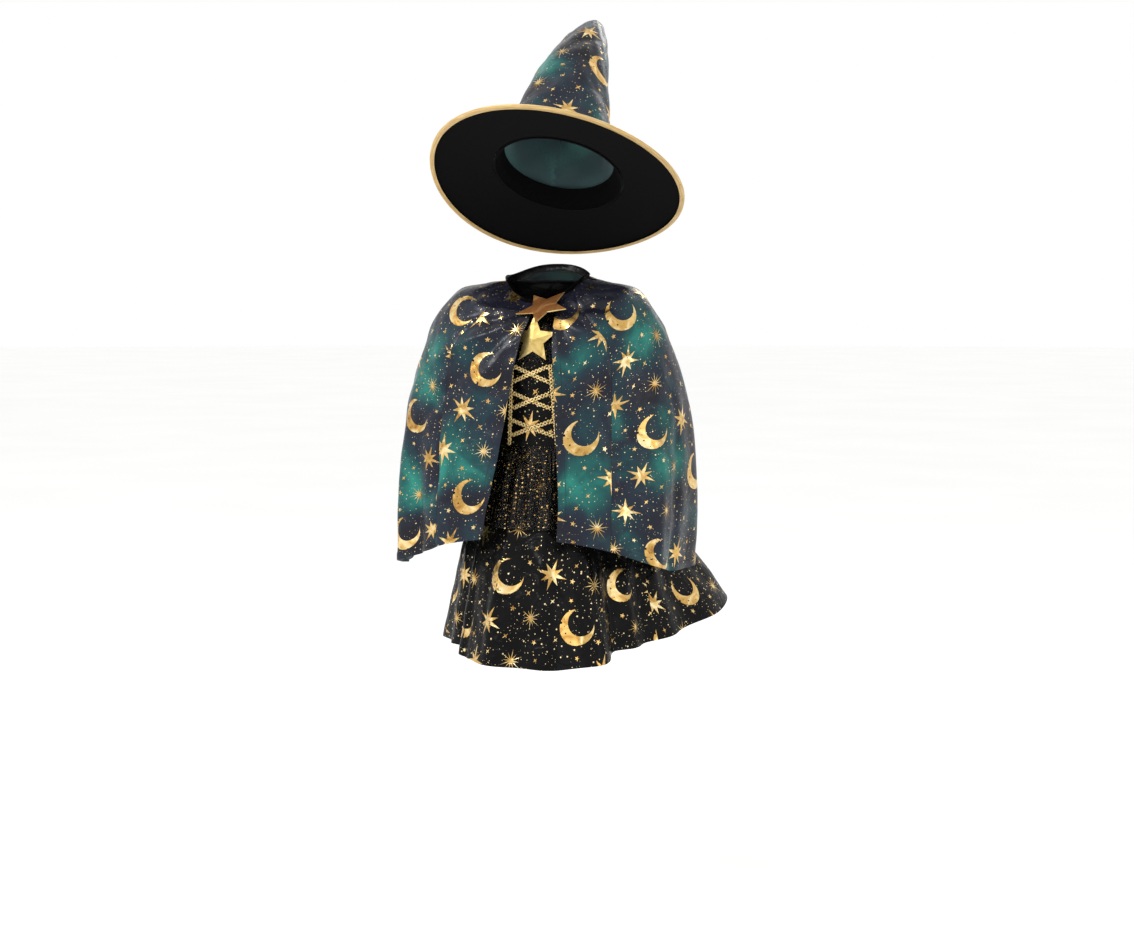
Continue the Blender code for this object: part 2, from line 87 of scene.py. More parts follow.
# Skirt and overlay
SKIRT_FLARE_CURVE = 1.0
SKIRT_WAVES = 13
SKIRT_WAVE_DEPTH = 0.0055
OVERLAY_SHARE = 0.385
OVERLAY_GATHERS = 28
OVERLAY_GATHER_DEPTH = 0.0024
OVERLAY_PUFF = 0.0058
HemPoint = namedtuple("HemPoint", "bearing reach height")
SKIRT_HEM = [
    HemPoint(-121, 0.154, -0.511),
    HemPoint(-106, 0.157, -0.513),
    HemPoint(-89, 0.164, -0.514),
    HemPoint(-70, 0.168, -0.514),
    HemPoint(-47, 0.164, -0.510),
    HemPoint(-34, 0.139, -0.503),
    HemPoint(-9, 0.149, -0.497),
    HemPoint(13, 0.190, -0.486),
    HemPoint(30, 0.252, -0.470),
    HemPoint(43, 0.298, -0.455),
    HemPoint(60, 0.262, -0.462),
    HemPoint(90, 0.205, -0.478),
    HemPoint(125, 0.185, -0.492),
    HemPoint(158, 0.168, -0.500),
    HemPoint(180, 0.155, -0.503),
    HemPoint(207, 0.124, -0.505),
]

# Cape
CAPE_SQUARENESS = 2.4
LEFT_SIDE_TRIM = 0.065
CapeSection = namedtuple("CapeSection", "down width front back z_front z_side z_back right_edge left_edge seam")
CAPE = [
    CapeSection(0.00, 0.056, 0.054, 0.052, -0.020, 0.0140, 0.030, -0.002, 0.034, 0.046),
    CapeSection(0.10, 0.090, 0.082, 0.076, -0.040, 0.0095, 0.012, -0.004, 0.033, 0.062),
    CapeSection(0.20, 0.127, 0.099, 0.094, -0.070, 0.0000, -0.016, -0.012, 0.033, 0.084),
    CapeSection(0.30, 0.157, 0.107, 0.107, -0.103, -0.0350, -0.052, -0.018, 0.037, 0.110),
    CapeSection(0.42, 0.180, 0.111, 0.120, -0.142, -0.0840, -0.096, -0.024, 0.041, 0.121),
    CapeSection(0.56, 0.202, 0.118, 0.136, -0.190, -0.1530, -0.152, -0.031, 0.045, 0.126),
    CapeSection(0.70, 0.211, 0.125, 0.159, -0.238, -0.2260, -0.214, -0.039, 0.050, 0.128),
    CapeSection(0.85, 0.214, 0.132, 0.184, -0.289, -0.3090, -0.272, -0.049, 0.054, 0.130),
    CapeSection(1.00, 0.211, 0.138, 0.205, -0.340, -0.3920, -0.330, -0.058, 0.053, 0.130),
]
BACK_SEAM_TURN = 0.40
CapeFold = namedtuple("CapeFold", "turn spread depth starts lean")
CAPE_FOLDS = [
    CapeFold(0.78, 0.030, -0.013, 0.45, 0.05),
    CapeFold(0.69, 0.030, 0.009, 0.35, 0.03),
    CapeFold(0.58, 0.028, -0.008, 0.30, -0.02),
    CapeFold(0.47, 0.030, 0.010, 0.35, -0.02),
    CapeFold(0.30, 0.035, -0.010, 0.30, 0.00),
    CapeFold(0.14, 0.045, 0.011, 0.25, 0.00),
    CapeFold(-0.04, 0.040, -0.011, 0.30, 0.00),
    CapeFold(-0.19, 0.045, 0.010, 0.25, 0.00),
    CapeFold(-0.33, 0.035, -0.003, 0.35, 0.00),
    CapeFold(-0.48, 0.032, 0.010, 0.30, 0.02),
    CapeFold(-0.60, 0.030, -0.009, 0.35, -0.02),
    CapeFold(-0.71, 0.034, 0.008, 0.40, -0.03),
    CapeFold(-0.84, 0.040, -0.006, 0.35, -0.04),
]
CAPE_HEM = 0.012
NECKBAND_RISE = 0.0065
NECKBAND_LEAN = 0.003
NECKBAND_LAP = 0.0030

# Creases pressed into a cloth: from one place to another, each as across and down
Crease = namedtuple("Crease", "across down to_across to_down width depth")
CAPE_SCALE = (0.44, 0.38)
CAPE_CREASES = [
    Crease(-0.54, 0.30, -0.50, 0.80, 0.052, 0.0060),
    Crease(-0.56, 0.86, -0.54, 1.20, 0.040, -0.0065),
    Crease(0.99, 0.03, 0.74, 0.26, 0.007, -0.0034),
    Crease(0.99, 0.07, 0.72, 0.42, 0.008, 0.0042),
    Crease(0.98, 0.13, 0.76, 0.60, 0.008, -0.0036),
    Crease(0.97, 0.20, 0.84, 0.72, 0.009, 0.0034),
    Crease(0.93, 0.45, 0.80, 0.95, 0.009, -0.0030),
    Crease(0.90, 0.06, 0.66, 0.20, 0.008, 0.0026),
    Crease(-0.97, 0.05, -0.68, 0.24, 0.008, -0.0036),
    Crease(-0.98, 0.10, -0.72, 0.44, 0.008, 0.0042),
    Crease(-0.97, 0.17, -0.80, 0.62, 0.008, -0.0036),
    Crease(-0.96, 0.28, -0.86, 0.78, 0.009, 0.0034),
    Crease(-0.90, 0.52, -0.78, 0.98, 0.009, -0.0032),
    Crease(-0.88, 0.05, -0.60, 0.18, 0.009, 0.0026),
    Crease(0.62, 0.16, 0.52, 0.44, 0.012, 0.0022),
    Crease(0.42, 0.20, 0.36, 0.52, 0.011, -0.0020),
    Crease(-0.58, 0.18, -0.52, 0.46, 0.012, 0.0022),
    Crease(-0.40, 0.22, -0.44, 0.56, 0.011, -0.0020),
    Crease(0.20, 0.14, 0.05, 0.50, 0.013, -0.0020),
    Crease(-0.22, 0.16, -0.10, 0.48, 0.012, 0.0020),
    Crease(0.25, 0.60, 0.18, 0.95, 0.010, 0.0018),
    Crease(-0.28, 0.62, -0.24, 0.96, 0.010, -0.0020),
]
SKIRT_SCALE = (0.62, 0.30)
SKIRT_CREASES = [
    Crease(0.235, 0.50, 0.240, 1.08, 0.040, 0.0085),
    Crease(-0.72, 0.55, -0.72, 1.20, 0.012, -0.0060),
    Crease(-0.66, 0.15, -0.62, 0.95, 0.008, -0.0030),
    Crease(-0.57, 0.30, -0.60, 0.90, 0.010, 0.0026),
    Crease(-0.50, 0.45, -0.38, 0.62, 0.008, 0.0022),
    Crease(-0.48, 0.52, -0.36, 0.72, 0.007, -0.0022),
    Crease(-0.42, 0.20, -0.46, 0.98, 0.009, 0.0024),
    Crease(-0.27, 0.25, -0.24, 0.98, 0.009, -0.0034),
    Crease(0.12, 0.30, 0.20, 0.96, 0.010, -0.0030),
    Crease(0.24, 0.35, 0.28, 0.98, 0.009, 0.0028),
    Crease(0.45, 0.25, 0.48, 0.96, 0.010, -0.0026),
    Crease(0.66, 0.30, 0.62, 0.98, 0.010, 0.0026),
    Crease(0.85, 0.25, 0.88, 0.96, 0.009, -0.0026),
]
BODICE_SCALE = (0.14, 0.11)
BODICE_CREASES = [
    Crease(-0.55, 1.30, -0.15, 1.42, 0.006, 0.0008),
    Crease(0.15, 1.58, 0.60, 1.46, 0.006, 0.0008),
    Crease(-0.50, 1.74, -0.10, 1.80, 0.005, -0.0007),
    Crease(0.10, 1.88, 0.55, 1.80, 0.005, 0.0008),
]

# Foil stars
STAR_POINTS = 5
STAR_INNER_SHARE = 0.46
STAR_THICKNESS = 0.0016
STAR_CREST = 0.0027
STAR_PIPING = 0.0007
StarSeat = namedtuple("StarSeat", "centre radius tip turn lean_back")
CLASP_STAR = StarSeat((0.0145, -0.0761, -0.0240), 0.0395, -8, -15, 56)
BODICE_STAR = StarSeat((0.0030, -0.0847, -0.0690), 0.0350, 90, -5, 10)

# Hat
HAT_CENTRE = (0.0104, 0.0126, 0.1570)
HAT_TILT_BACK = 28.5
HAT_ROLL = 12
HAT_TURN = 15
BRIM_RADIUS = 0.1825
HEAD_RADIUS = 0.0960
BRIM_WAVE = 0.0035
BRIM_CUP = 0.006
BRIM_DROOP = 0.0050
CORNER_DROOP = 0.0135
CORNER_DROOP_AT = 116
BINDING_WIDTH = 0.0065
BINDING_CLOTH = 0.0009
STIFF_FELT = 0.0014
HEADBAND_REACH = 0.026
HEADBAND_DROP = 0.0030
HEADBAND_RIB = 0.0022
CrownSection = namedtuple("CrownSection", "along radius lean sway")
CROWN = [
    CrownSection(0.000, 0.0960, 0, 0.000),
    CrownSection(0.010, 0.0905, 0, -0.001),
    CrownSection(0.026, 0.0845, 0, -0.004),
    CrownSection(0.060, 0.0745, 0, -0.007),
    CrownSection(0.105, 0.0650, 0, -0.009),
    CrownSection(0.150, 0.0545, 3, -0.009),
    CrownSection(0.192, 0.0435, 9, -0.005),
    CrownSection(0.230, 0.0320, 16, -0.001),
    CrownSection(0.261, 0.0215, 22, 0.003),
    CrownSection(0.284, 0.0125, 26, 0.005),
    CrownSection(0.296, 0.0055, 28, 0.006),
]
CROWN_TIP_RISE = 0.0025
CROWN_SEAT = BRIM_CUP + STIFF_FELT + 1.5 * SEAM_GAP
CROWN_SCALE = (0.50, 0.29)
CROWN_CREASES = [
    Crease(0.62, 0.04, 0.54, 0.30, 0.010, -0.0026),
    Crease(0.44, 0.06, 0.47, 0.42, 0.012, 0.0022),
    Crease(0.70, 0.30, 0.58, 0.44, 0.010, -0.0022),
    Crease(0.36, 0.52, 0.52, 0.60, 0.009, 0.0018),
    Crease(0.40, 0.64, 0.60, 0.72, 0.009, -0.0018),
    Crease(0.20, 0.10, 0.26, 0.48, 0.012, -0.0024),
    Crease(0.85, 0.08, 0.80, 0.50, 0.012, 0.0022),
    Crease(0.05, 0.50, 0.22, 0.62, 0.009, -0.0018),
    Crease(0.77, 0.14, 0.72, 0.30, 0.020, -0.0050),
]

# The print's repeat, charted: what, where in the repeat, how tall and how far turned
REPEAT = (0.200, 0.182)
Motif = namedtuple("Motif", "kind across down size turn")
PRINT_CHART = [
    Motif("moon", 0.034, 0.030, 0.050, 38),
    Motif("star", 0.100, 0.024, 0.045, 8),
    Motif("burst", 0.163, 0.034, 0.034, 0),
    Motif("star", 0.010, 0.092, 0.045, -6),
    Motif("burst", 0.074, 0.086, 0.033, 12),
    Motif("moon", 0.142, 0.094, 0.050, 52),
    Motif("burst", 0.048, 0.146, 0.033, 6),
    Motif("four", 0.110, 0.158, 0.013, 4),
    Motif("star", 0.184, 0.150, 0.045, 18),
    Motif("five", 0.067, 0.010, 0.008, 5),
    Motif("four", 0.068, 0.052, 0.010, 0),
    Motif("five", 0.004, 0.048, 0.008, 20),
    Motif("four", 0.104, 0.060, 0.009, 6),
    Motif("five", 0.131, 0.058, 0.007, 0),
    Motif("four", 0.182, 0.068, 0.010, -4),
    Motif("five", 0.194, 0.014, 0.007, 15),
    Motif("four", 0.134, 0.010, 0.009, 5),
    Motif("five", 0.046, 0.074, 0.008, 30),
    Motif("four", 0.038, 0.112, 0.010, -8),
    Motif("five", 0.082, 0.118, 0.008, 8),
    Motif("four", 0.014, 0.134, 0.009, 4),
    Motif("five", 0.018, 0.172, 0.008, -10),
    Motif("four", 0.076, 0.172, 0.010, 6),
    Motif("five", 0.146, 0.136, 0.007, 18),
    Motif("four", 0.150, 0.174, 0.009, -6),
    Motif("four", 0.112, 0.112, 0.008, 3),
    Motif("five", 0.174, 0.112, 0.008, 12),
    Motif("four", 0.086, 0.142, 0.008, 0),
    Motif("five", 0.130, 0.032, 0.008, 25),
]
FOIL_LIFT = 0.00022

# The dyed clouds of the galaxy cloth, in the same repeat: where, how wide, how deep and how strong
Cloud = namedtuple("Cloud", "across down wide deep strength")
CLOUD_CHART = [
    Cloud(0.020, 0.085, 0.046, 0.062, 0.80),
    Cloud(0.052, 0.130, 0.040, 0.034, 0.52),
    Cloud(0.095, 0.016, 0.056, 0.030, 0.50),
    Cloud(0.138, 0.062, 0.030, 0.048, 0.62),
    Cloud(0.176, 0.146, 0.044, 0.044, 0.72),
    Cloud(0.104, 0.138, 0.036, 0.026, 0.34),
]


# Reading the tables

def read_column(rows, column, at):
    """Smooth values of one column between the rows of a table. The first column says where each row is."""
    places = np.array([row[0] for row in rows], dtype=float)
    values = np.array([getattr(row, column) for row in rows], dtype=float)
    slopes = np.gradient(values, places)
    at = np.asarray(at, dtype=float)
    i = np.clip(np.searchsorted(places, at) - 1, 0, len(rows) - 2)
    span = places[i + 1] - places[i]
    t = (at - places[i]) / span
    rise, fall = t * t * (3 - 2 * t), t * (1 - t)
    bend = fall * ((1 - t) * slopes[i] - t * slopes[i + 1]) * span
    return values[i] * (1 - rise) + values[i + 1] * rise + bend


def ease(start, end, at):
    t = np.clip((at - start) / (end - start), 0.0, 1.0)
    return t * t * (3 - 2 * t)


def rounded(value, power):
    return np.abs(value) ** power * np.where(value >= 0, 1.0, -1.0)


def point(x, y, z):
    return np.stack(np.broadcast_arrays(x, y, z), axis=-1)


def unevenness(across, down, scale, depth):
    """A small waviness that no cloth is without, made of a few long waves that never line up."""
    x, y = across * scale[0], down * scale[1]
    wave = np.sin(x * 97 + 2.1 * np.sin(y * 61)) + np.sin(y * 113 + x * 71 + 1.3)
    return depth * (wave + 0.7 * np.sin(x * 181 - y * 139 + 0.7)) / 2.7


def pressed(creases, across, down, scale):
    """How far the creases raise or sink the cloth at each place."""
    total = np.zeros_like(across)
    for crease in creases:
        start = np.array([crease.across * scale[0], crease.down * scale[1]])
        run = np.array([crease.to_across * scale[0], crease.to_down * scale[1]]) - start
        x, y = across * scale[0] - start[0], down * scale[1] - start[1]
        along = (x * run[0] + y * run[1]) / (run @ run)
        near = np.clip(along, 0, 1)
        gap = np.hypot(x - near * run[0], y - near * run[1])
        total += crease.depth * np.exp(-(gap / crease.width) ** 2) * np.sin(pi * np.clip(near, 0.04, 0.96)) ** 0.6
    return total


# Forms of the dress

def bodice_ring(across, height, back):
    width = read_column(BODICE, "width", height)
    depth = read_column(BODICE, "back" if back else "front", height)
    angle = across * pi / 2
    return point(width * np.sin(angle), depth * np.cos(angle) * (1 if back else -1), height)


def neck_and_shoulder(across, back):
    curve = NECK_BACK if back else NECK_FRONT
    side = np.where(across >= 0, 1.0, -1.0)
    out = np.abs(across)
    forward = 1 if back else -1
    angle = np.minimum(out / NECK_SHARE, 1.0) * pi / 2
    height = curve.height + (NECK_SIDE_HEIGHT - curve.height) * np.sin(angle) ** 2
    neck = point(side * NECK_HALF_WIDTH * np.sin(angle), forward * curve.depth * np.cos(angle), height)
    along = np.maximum((out - NECK_SHARE) / (1 - NECK_SHARE), 0.0)
    x = NECK_HALF_WIDTH + (SHOULDER_TIP_X - NECK_HALF_WIDTH) * along
    rise = NECK_SIDE_HEIGHT + (SHOULDER_TIP_HEIGHT - NECK_SIDE_HEIGHT) * along
    return np.where((out <= NECK_SHARE)[..., None], neck, point(side * x, 0 * x, rise))


def chest_line(across):
    return CHEST_HEIGHT - CHEST_DIP_AT_SIDE * across * across


def dress_form(back):
    """Across runs from -1 to 1 between the side seams. Down is 0 at neck and shoulder, 1 at the chest, 2 at the waist."""
    forward = 1 if back else -1

    def place(across, down):
        across = np.clip(across, -1.0, 1.0) * (-1 if back else 1)
        chest = chest_line(across)
        trunk = bodice_ring(across, chest + (WAIST_HEIGHT - chest) * (np.maximum(down, 1) - 1), back)
        low = bodice_ring(across, chest, back)
        high = neck_and_shoulder(across, back)
        climb = 1 - np.minimum(down, 1)
        scoop = ARMHOLE_HALF_DEPTH * np.sin(pi * climb) * np.abs(across) ** 3
        spread, rise = 1 - np.cos(climb * pi / 2), np.sin(climb * pi / 2)
        x = low[..., 0] + (high[..., 0] - low[..., 0]) * climb
        y = low[..., 1] + (high[..., 1] - low[..., 1]) * spread + forward * scoop
        z = low[..., 2] + (high[..., 2] - low[..., 2]) * rise
        return np.where((down >= 1)[..., None], trunk, point(x, y, z))
    return place


def hem_rows():
    first = [HemPoint(row.bearing - 360, row.reach, row.height) for row in SKIRT_HEM[-3:]]
    last = [HemPoint(row.bearing + 360, row.reach, row.height) for row in SKIRT_HEM[:3]]
    return first + SKIRT_HEM + last


HEM_ROWS = hem_rows()


def skirt_form(turn, down):
    """Turn is half turns from +X towards +Y, and down runs from 0 at the waist to 1 at the hem."""
    bearing = (turn * 180 + 150) % 360 - 150
    angle = np.radians(bearing)
    width = read_column(BODICE, "width", WAIST_HEIGHT)
    front = read_column(BODICE, "front", WAIST_HEIGHT)
    depth = np.where(np.sin(angle) > 0, read_column(BODICE, "back", WAIST_HEIGHT), front)
    waist = 1 / np.sqrt((np.cos(angle) / width) ** 2 + (np.sin(angle) / depth) ** 2)
    reach = read_column(HEM_ROWS, "reach", bearing)
    height = read_column(HEM_ROWS, "height", bearing)
    wave = SKIRT_WAVE_DEPTH * np.sin(SKIRT_WAVES * angle + np.sin(2 * angle)) * ease(0.05, 1.0, down)
    radius = waist + (reach - waist) * np.maximum(down, 0) ** SKIRT_FLARE_CURVE + wave
    return point(radius * np.cos(angle), radius * np.sin(angle), WAIST_HEIGHT + (height - WAIST_HEIGHT) * down)


def skirt_lift(turn, down):
    return pressed(SKIRT_CREASES, turn, down, SKIRT_SCALE) + unevenness(turn, down, SKIRT_SCALE, 0.0008)


def overlay_lift(turn, down):
    share = down / OVERLAY_SHARE
    gather = OVERLAY_GATHER_DEPTH * np.sin(OVERLAY_GATHERS * turn * pi) * ease(0.0, 0.5, share)
    small = 0.0008 * np.sin(113 * turn * pi + np.sin(17 * turn)) * ease(0.0, 0.1, share) * ease(0.0, 0.5, 1 - share)
    return SEAM_GAP + 2 * NET + OVERLAY_PUFF * ease(0.0, 0.35, share) + gather + small


# Form of the cape

def cape_turn_at(x, width):
    share = np.minimum(np.abs(x) / width, 1.0)
    return pi - np.arcsin(share ** (CAPE_SQUARENESS / 2))


def cape_form(turn, down):
    """Turn is -1 at the left front edge, 0 at the back's middle and 1 at the right front edge."""
    section = {name: read_column(CAPE, name, down) for name in CapeSection._fields[1:]}
    edge = np.where(turn > 0, section["right_edge"], section["left_edge"])
    side = np.where(turn >= 0, -1.0, 1.0)
    angle = np.abs(turn) * cape_turn_at(edge, section["width"])
    power = 2 / CAPE_SQUARENESS
    c, s = np.cos(angle), np.sin(angle)
    trim = 1 - LEFT_SIDE_TRIM * ease(0.1, 0.6, down) * (side > 0) * (1 - np.maximum(c, 0))
    depth = np.where(c > 0, section["back"], section["front"])
    x = side * section["width"] * trim * rounded(s, power)
    y = depth * rounded(c, power)
    far = np.where(c > 0, section["z_back"], section["z_front"])
    z = section["z_side"] + (far - section["z_side"]) * c * c
    out_x, out_y = x / section["width"] ** 2, y / depth ** 2
    length = np.hypot(out_x, out_y)
    fold = np.zeros_like(x)
    for row in CAPE_FOLDS:
        centre = row.turn + row.lean * (down - 1)
        fold += row.depth * np.exp(-((turn - centre) / row.spread) ** 2) * ease(row.starts, 1.0, down)
    return point(x + out_x / length * fold, y + out_y / length * fold, z)


def cape_lift(turn, down):
    return pressed(CAPE_CREASES, turn, down, CAPE_SCALE) + unevenness(turn, down, CAPE_SCALE, 0.0010)


def front_seam_turn(down, side):
    width = read_column(CAPE, "width", down)
    seam = read_column(CAPE, "seam", down)
    edge = read_column(CAPE, "left_edge" if side > 0 else "right_edge", down)
    return cape_turn_at(seam, width) / cape_turn_at(edge, width)


def between_seams(start, end):
    """A part of the cape between two seams, and its lift. Each seam is a turn or a function of down."""
    def turn_at(across, down):
        low = start(down) if callable(start) else start
        high = end(down) if callable(end) else end
        return low + (high - low) * across

    def form(across, down):
        return cape_form(turn_at(across, down), down)

    def lift(across, down):
        return cape_lift(turn_at(across, down), down)
    return form, lift


def neckband_form(turn, down):
    base = cape_form(turn, 0 * down)
    outward = base * np.array([1.0, 1.0, 0.0])
    outward /= np.linalg.norm(outward, axis=-1, keepdims=True)
    up = 1 - down
    rise = (NECKBAND_RISE * up + NECKBAND_LAP * (up - 1))[..., None] * np.array([0.0, 0.0, 1.0])
    return base + outward * (NECKBAND_LEAN * up * up - CLOTH * 1.5 * (1 - up))[..., None] + rise


# Forms of the hat. Turn is 0 at the back and 0.5 at the front.

HAT_FRAME = (Matrix.Translation(HAT_CENTRE) @ Matrix.Rotation(radians(HAT_TURN), 4, "Z")
             @ Matrix.Rotation(radians(HAT_ROLL), 4, "Y") @ Matrix.Rotation(radians(-HAT_TILT_BACK), 4, "X"))


def put_on_head(points):
    seat = np.array(HAT_FRAME)
    return points @ seat[:3, :3].T + seat[:3, 3]


def hat_angle(turn):
    return pi / 2 + 2 * pi * turn


def brim_height(radius, angle):
    share = (radius - HEAD_RADIUS) / (BRIM_RADIUS - HEAD_RADIUS)
    toward_corner = np.maximum(np.cos(angle - radians(CORNER_DROOP_AT)), 0) ** 2
    droop = (BRIM_DROOP + CORNER_DROOP * toward_corner) * share ** 2
    return BRIM_CUP * (1 - share) ** 2 + BRIM_WAVE * share * np.sin(2 * angle + 0.6) - droop


def brim_form(lift):
    """The brim's ring at a height over its middle layer. Down runs from the crown to the edge."""
    def form(turn, down):
        angle = hat_angle(turn)
        radius = HEAD_RADIUS + SEAM_GAP + (BRIM_RADIUS - BINDING_CLOTH - SEAM_GAP - HEAD_RADIUS) * down
        return put_on_head(point(radius * np.cos(angle), radius * np.sin(angle), brim_height(radius, angle) + lift))
    return form


def binding_form(turn, down):
    """Round the brim's edge from its upper side to its under side."""
    angle = hat_angle(turn)
    rise = STIFF_FELT + 1.5 * SEAM_GAP + BINDING_CLOTH
    flat = BINDING_WIDTH - rise
    bend = pi * rise / 2
    along = down * (2 * flat + 2 * bend)
    round_share = np.clip((along - flat) / (2 * bend), 0, 1)
    inward = np.maximum(flat - along, 0) + np.maximum(along - flat - 2 * bend, 0)
    radius = BRIM_RADIUS - rise - inward + rise * np.sin(round_share * pi)
    height = rise * np.cos(round_share * pi)
    base = brim_height(np.minimum(radius, BRIM_RADIUS), angle)
    return put_on_head(point(radius * np.cos(angle), radius * np.sin(angle), base + height))


def crown_middle():
    """The crown's bent middle line, as a table of its length and its two coordinates."""
    along = np.linspace(0, CROWN[-1].along, 200)
    lean = np.radians(read_column(CROWN, "lean", along))
    step = along[1] - along[0]
    y = np.concatenate([[0], np.cumsum(np.sin((lean[1:] + lean[:-1]) / 2) * step)])
    z = np.concatenate([[0], np.cumsum(np.cos((lean[1:] + lean[:-1]) / 2) * step)])
    return along, y, z


CROWN_LINE = crown_middle()


def crown_form(shrink=0.0, reach=None, drop=0.0):
    """The crown's cone, its radius made smaller by shrink. Down runs from reach, or the tip, to drop below the brim."""
    top = CROWN[-1].along
    tip = top + CROWN_TIP_RISE

    def form(turn, down):
        angle = hat_angle(turn)
        along = (1 - down) * ((reach or tip) + drop) - drop
        body = np.clip(along, 0, top)
        over = np.clip((along - top) / CROWN_TIP_RISE, 0, 1)
        radius = (read_column(CROWN, "radius", body) - shrink) * np.sqrt(1 - over ** 2)
        lean = np.radians(read_column(CROWN, "lean", body))
        past = along - body
        y = np.interp(body, CROWN_LINE[0], CROWN_LINE[1]) + past * np.sin(lean)
        z = np.interp(body, CROWN_LINE[0], CROWN_LINE[2]) + past * np.cos(lean)
        out_x, out_y = radius * np.cos(angle), radius * np.sin(angle)
        x = read_column(CROWN, "sway", body) + out_x
        return put_on_head(point(x, y + out_y * np.cos(lean), z - out_y * np.sin(lean) + CROWN_SEAT))
    return form


def crown_lift(turn, down):
    fade = ease(0.0, 0.12, down) * ease(0.0, 0.05, 1 - down)
    dents = pressed(CROWN_CREASES, turn, 1 - down, CROWN_SCALE) + unevenness(turn, down, CROWN_SCALE, 0.0012)
    seam = -0.0010 * np.exp(-(np.minimum(turn, 1 - turn) / 0.006) ** 2)
    return (dents + seam) * fade


# Laying cloth

Laid = namedtuple("Laid", "piece flat_x flat_y fan points outward offset")
Hem = namedtuple("Hem", "side width rise")


def gaps_between(points, axis):
    return np.linalg.norm(np.diff(points, axis=axis), axis=2)


def lattice_outward(points):
    fall = np.gradient(points, axis=0)
    along = np.gradient(points, axis=1)
    outward = np.cross(fall, along)
    return outward / np.maximum(np.linalg.norm(outward, axis=2, keepdims=True), 1e-12)


def flatten(points):
    """The lattice laid flat: each row keeps its length, and the rows keep their spacing at the middle."""
    middle = points.shape[1] // 2
    row_steps = gaps_between(points, 1)
    flat_x = np.concatenate([np.zeros((len(points), 1)), np.cumsum(row_steps, axis=1)], axis=1)
    flat_x -= flat_x[:, middle:middle + 1]
    flat_y = np.concatenate([[0], np.cumsum(gaps_between(points, 0)[:, middle])])
    return flat_x, flat_y


def fan_reach(flat_x, flat_y):
    """How far above its first row the sides of a flared cut would meet, or none for a straight cut or a tape."""
    slope, start = np.polyfit(flat_y, flat_x[:, -1] - flat_x[:, 0], 1)
    return max(start / slope, 0.002) if slope > 0.08 and flat_y[-1] > 0.04 else None


def open_fan(fan, x, y):
    """From a place along and down a row to its place on the flat cut, which is a part of a ring where it flares."""
    if fan is None:
        return x, y
    reach = fan + y
    return reach * np.sin(x / reach), reach * np.cos(x / reach) - fan


def close_fan(fan, x, y):
    if fan is None:
        return x, y
    reach = np.hypot(x, y + fan)
    return reach * np.arctan2(x, y + fan), reach - fan


def hem_lift(hems, flat_x, flat_y):
    """A hem turned under lies a cloth's thickness higher, with a soft step at its stitching."""
    total = np.zeros_like(flat_x)
    for hem in hems:
        gap = {
            "start": flat_x - flat_x[:, :1],
            "end": flat_x[:, -1:] - flat_x,
            "low": (flat_y[-1] - flat_y)[:, None] + 0 * flat_x,
            "high": (flat_y - flat_y[0])[:, None] + 0 * flat_x,
        }[hem.side]
        total += hem.rise * (1 - ease(hem.width - 0.003, hem.width + 0.003, gap))
    return total


def add_flat_map(piece, x, y, cloud):
    """Keep each point's place on the flat cut, in metres, as the cloth's map and as its share of cloud."""
    mesh = piece.data
    corners = np.empty(len(mesh.loops), dtype=int)
    mesh.loops.foreach_get("vertex_index", corners)
    layer = mesh.uv_layers[0]
    layer.name = "flat"
    layer.data.foreach_set("uv", np.stack([x, -y], axis=1)[corners].ravel())
    mesh.attributes.new("cloud", "FLOAT", "POINT").data.foreach_set("value", cloud)


def cloud_at(x, y):
    """How strong the teal clouds are at each place of the flat cloth."""
    total = np.zeros_like(x)
    for cloud in CLOUD_CHART:
        gap_x = (x - cloud.across + REPEAT[0] / 2) % REPEAT[0] - REPEAT[0] / 2
        gap_y = (y - cloud.down + REPEAT[1] / 2) % REPEAT[1] - REPEAT[1] / 2
        total += cloud.strength * np.exp(-(gap_x / cloud.wide) ** 2 - (gap_y / cloud.deep) ** 2)
    return np.minimum(total, 1.2)


def select_only(piece):
    bpy.ops.object.select_all(action="DESELECT")
    piece.select_set(True)
    bpy.context.view_layer.objects.active = piece


def finish_sheet(piece, thickness, finishes):
    """Give a sheet its thickness on the inside, its right side's and wrong side's cloth, and a smooth face."""
    for finish in finishes:
        piece.data.materials.append(finish)
    wall = piece.modifiers.new("thickness", "SOLIDIFY")
    wall.thickness = thickness
    wall.offset = -1
    wall.use_rim = True
    wall.material_offset = len(finishes) - 1
    select_only(piece)
    bpy.ops.object.modifier_apply(modifier="thickness")
    bpy.ops.object.shade_smooth_by_angle(angle=radians(50))


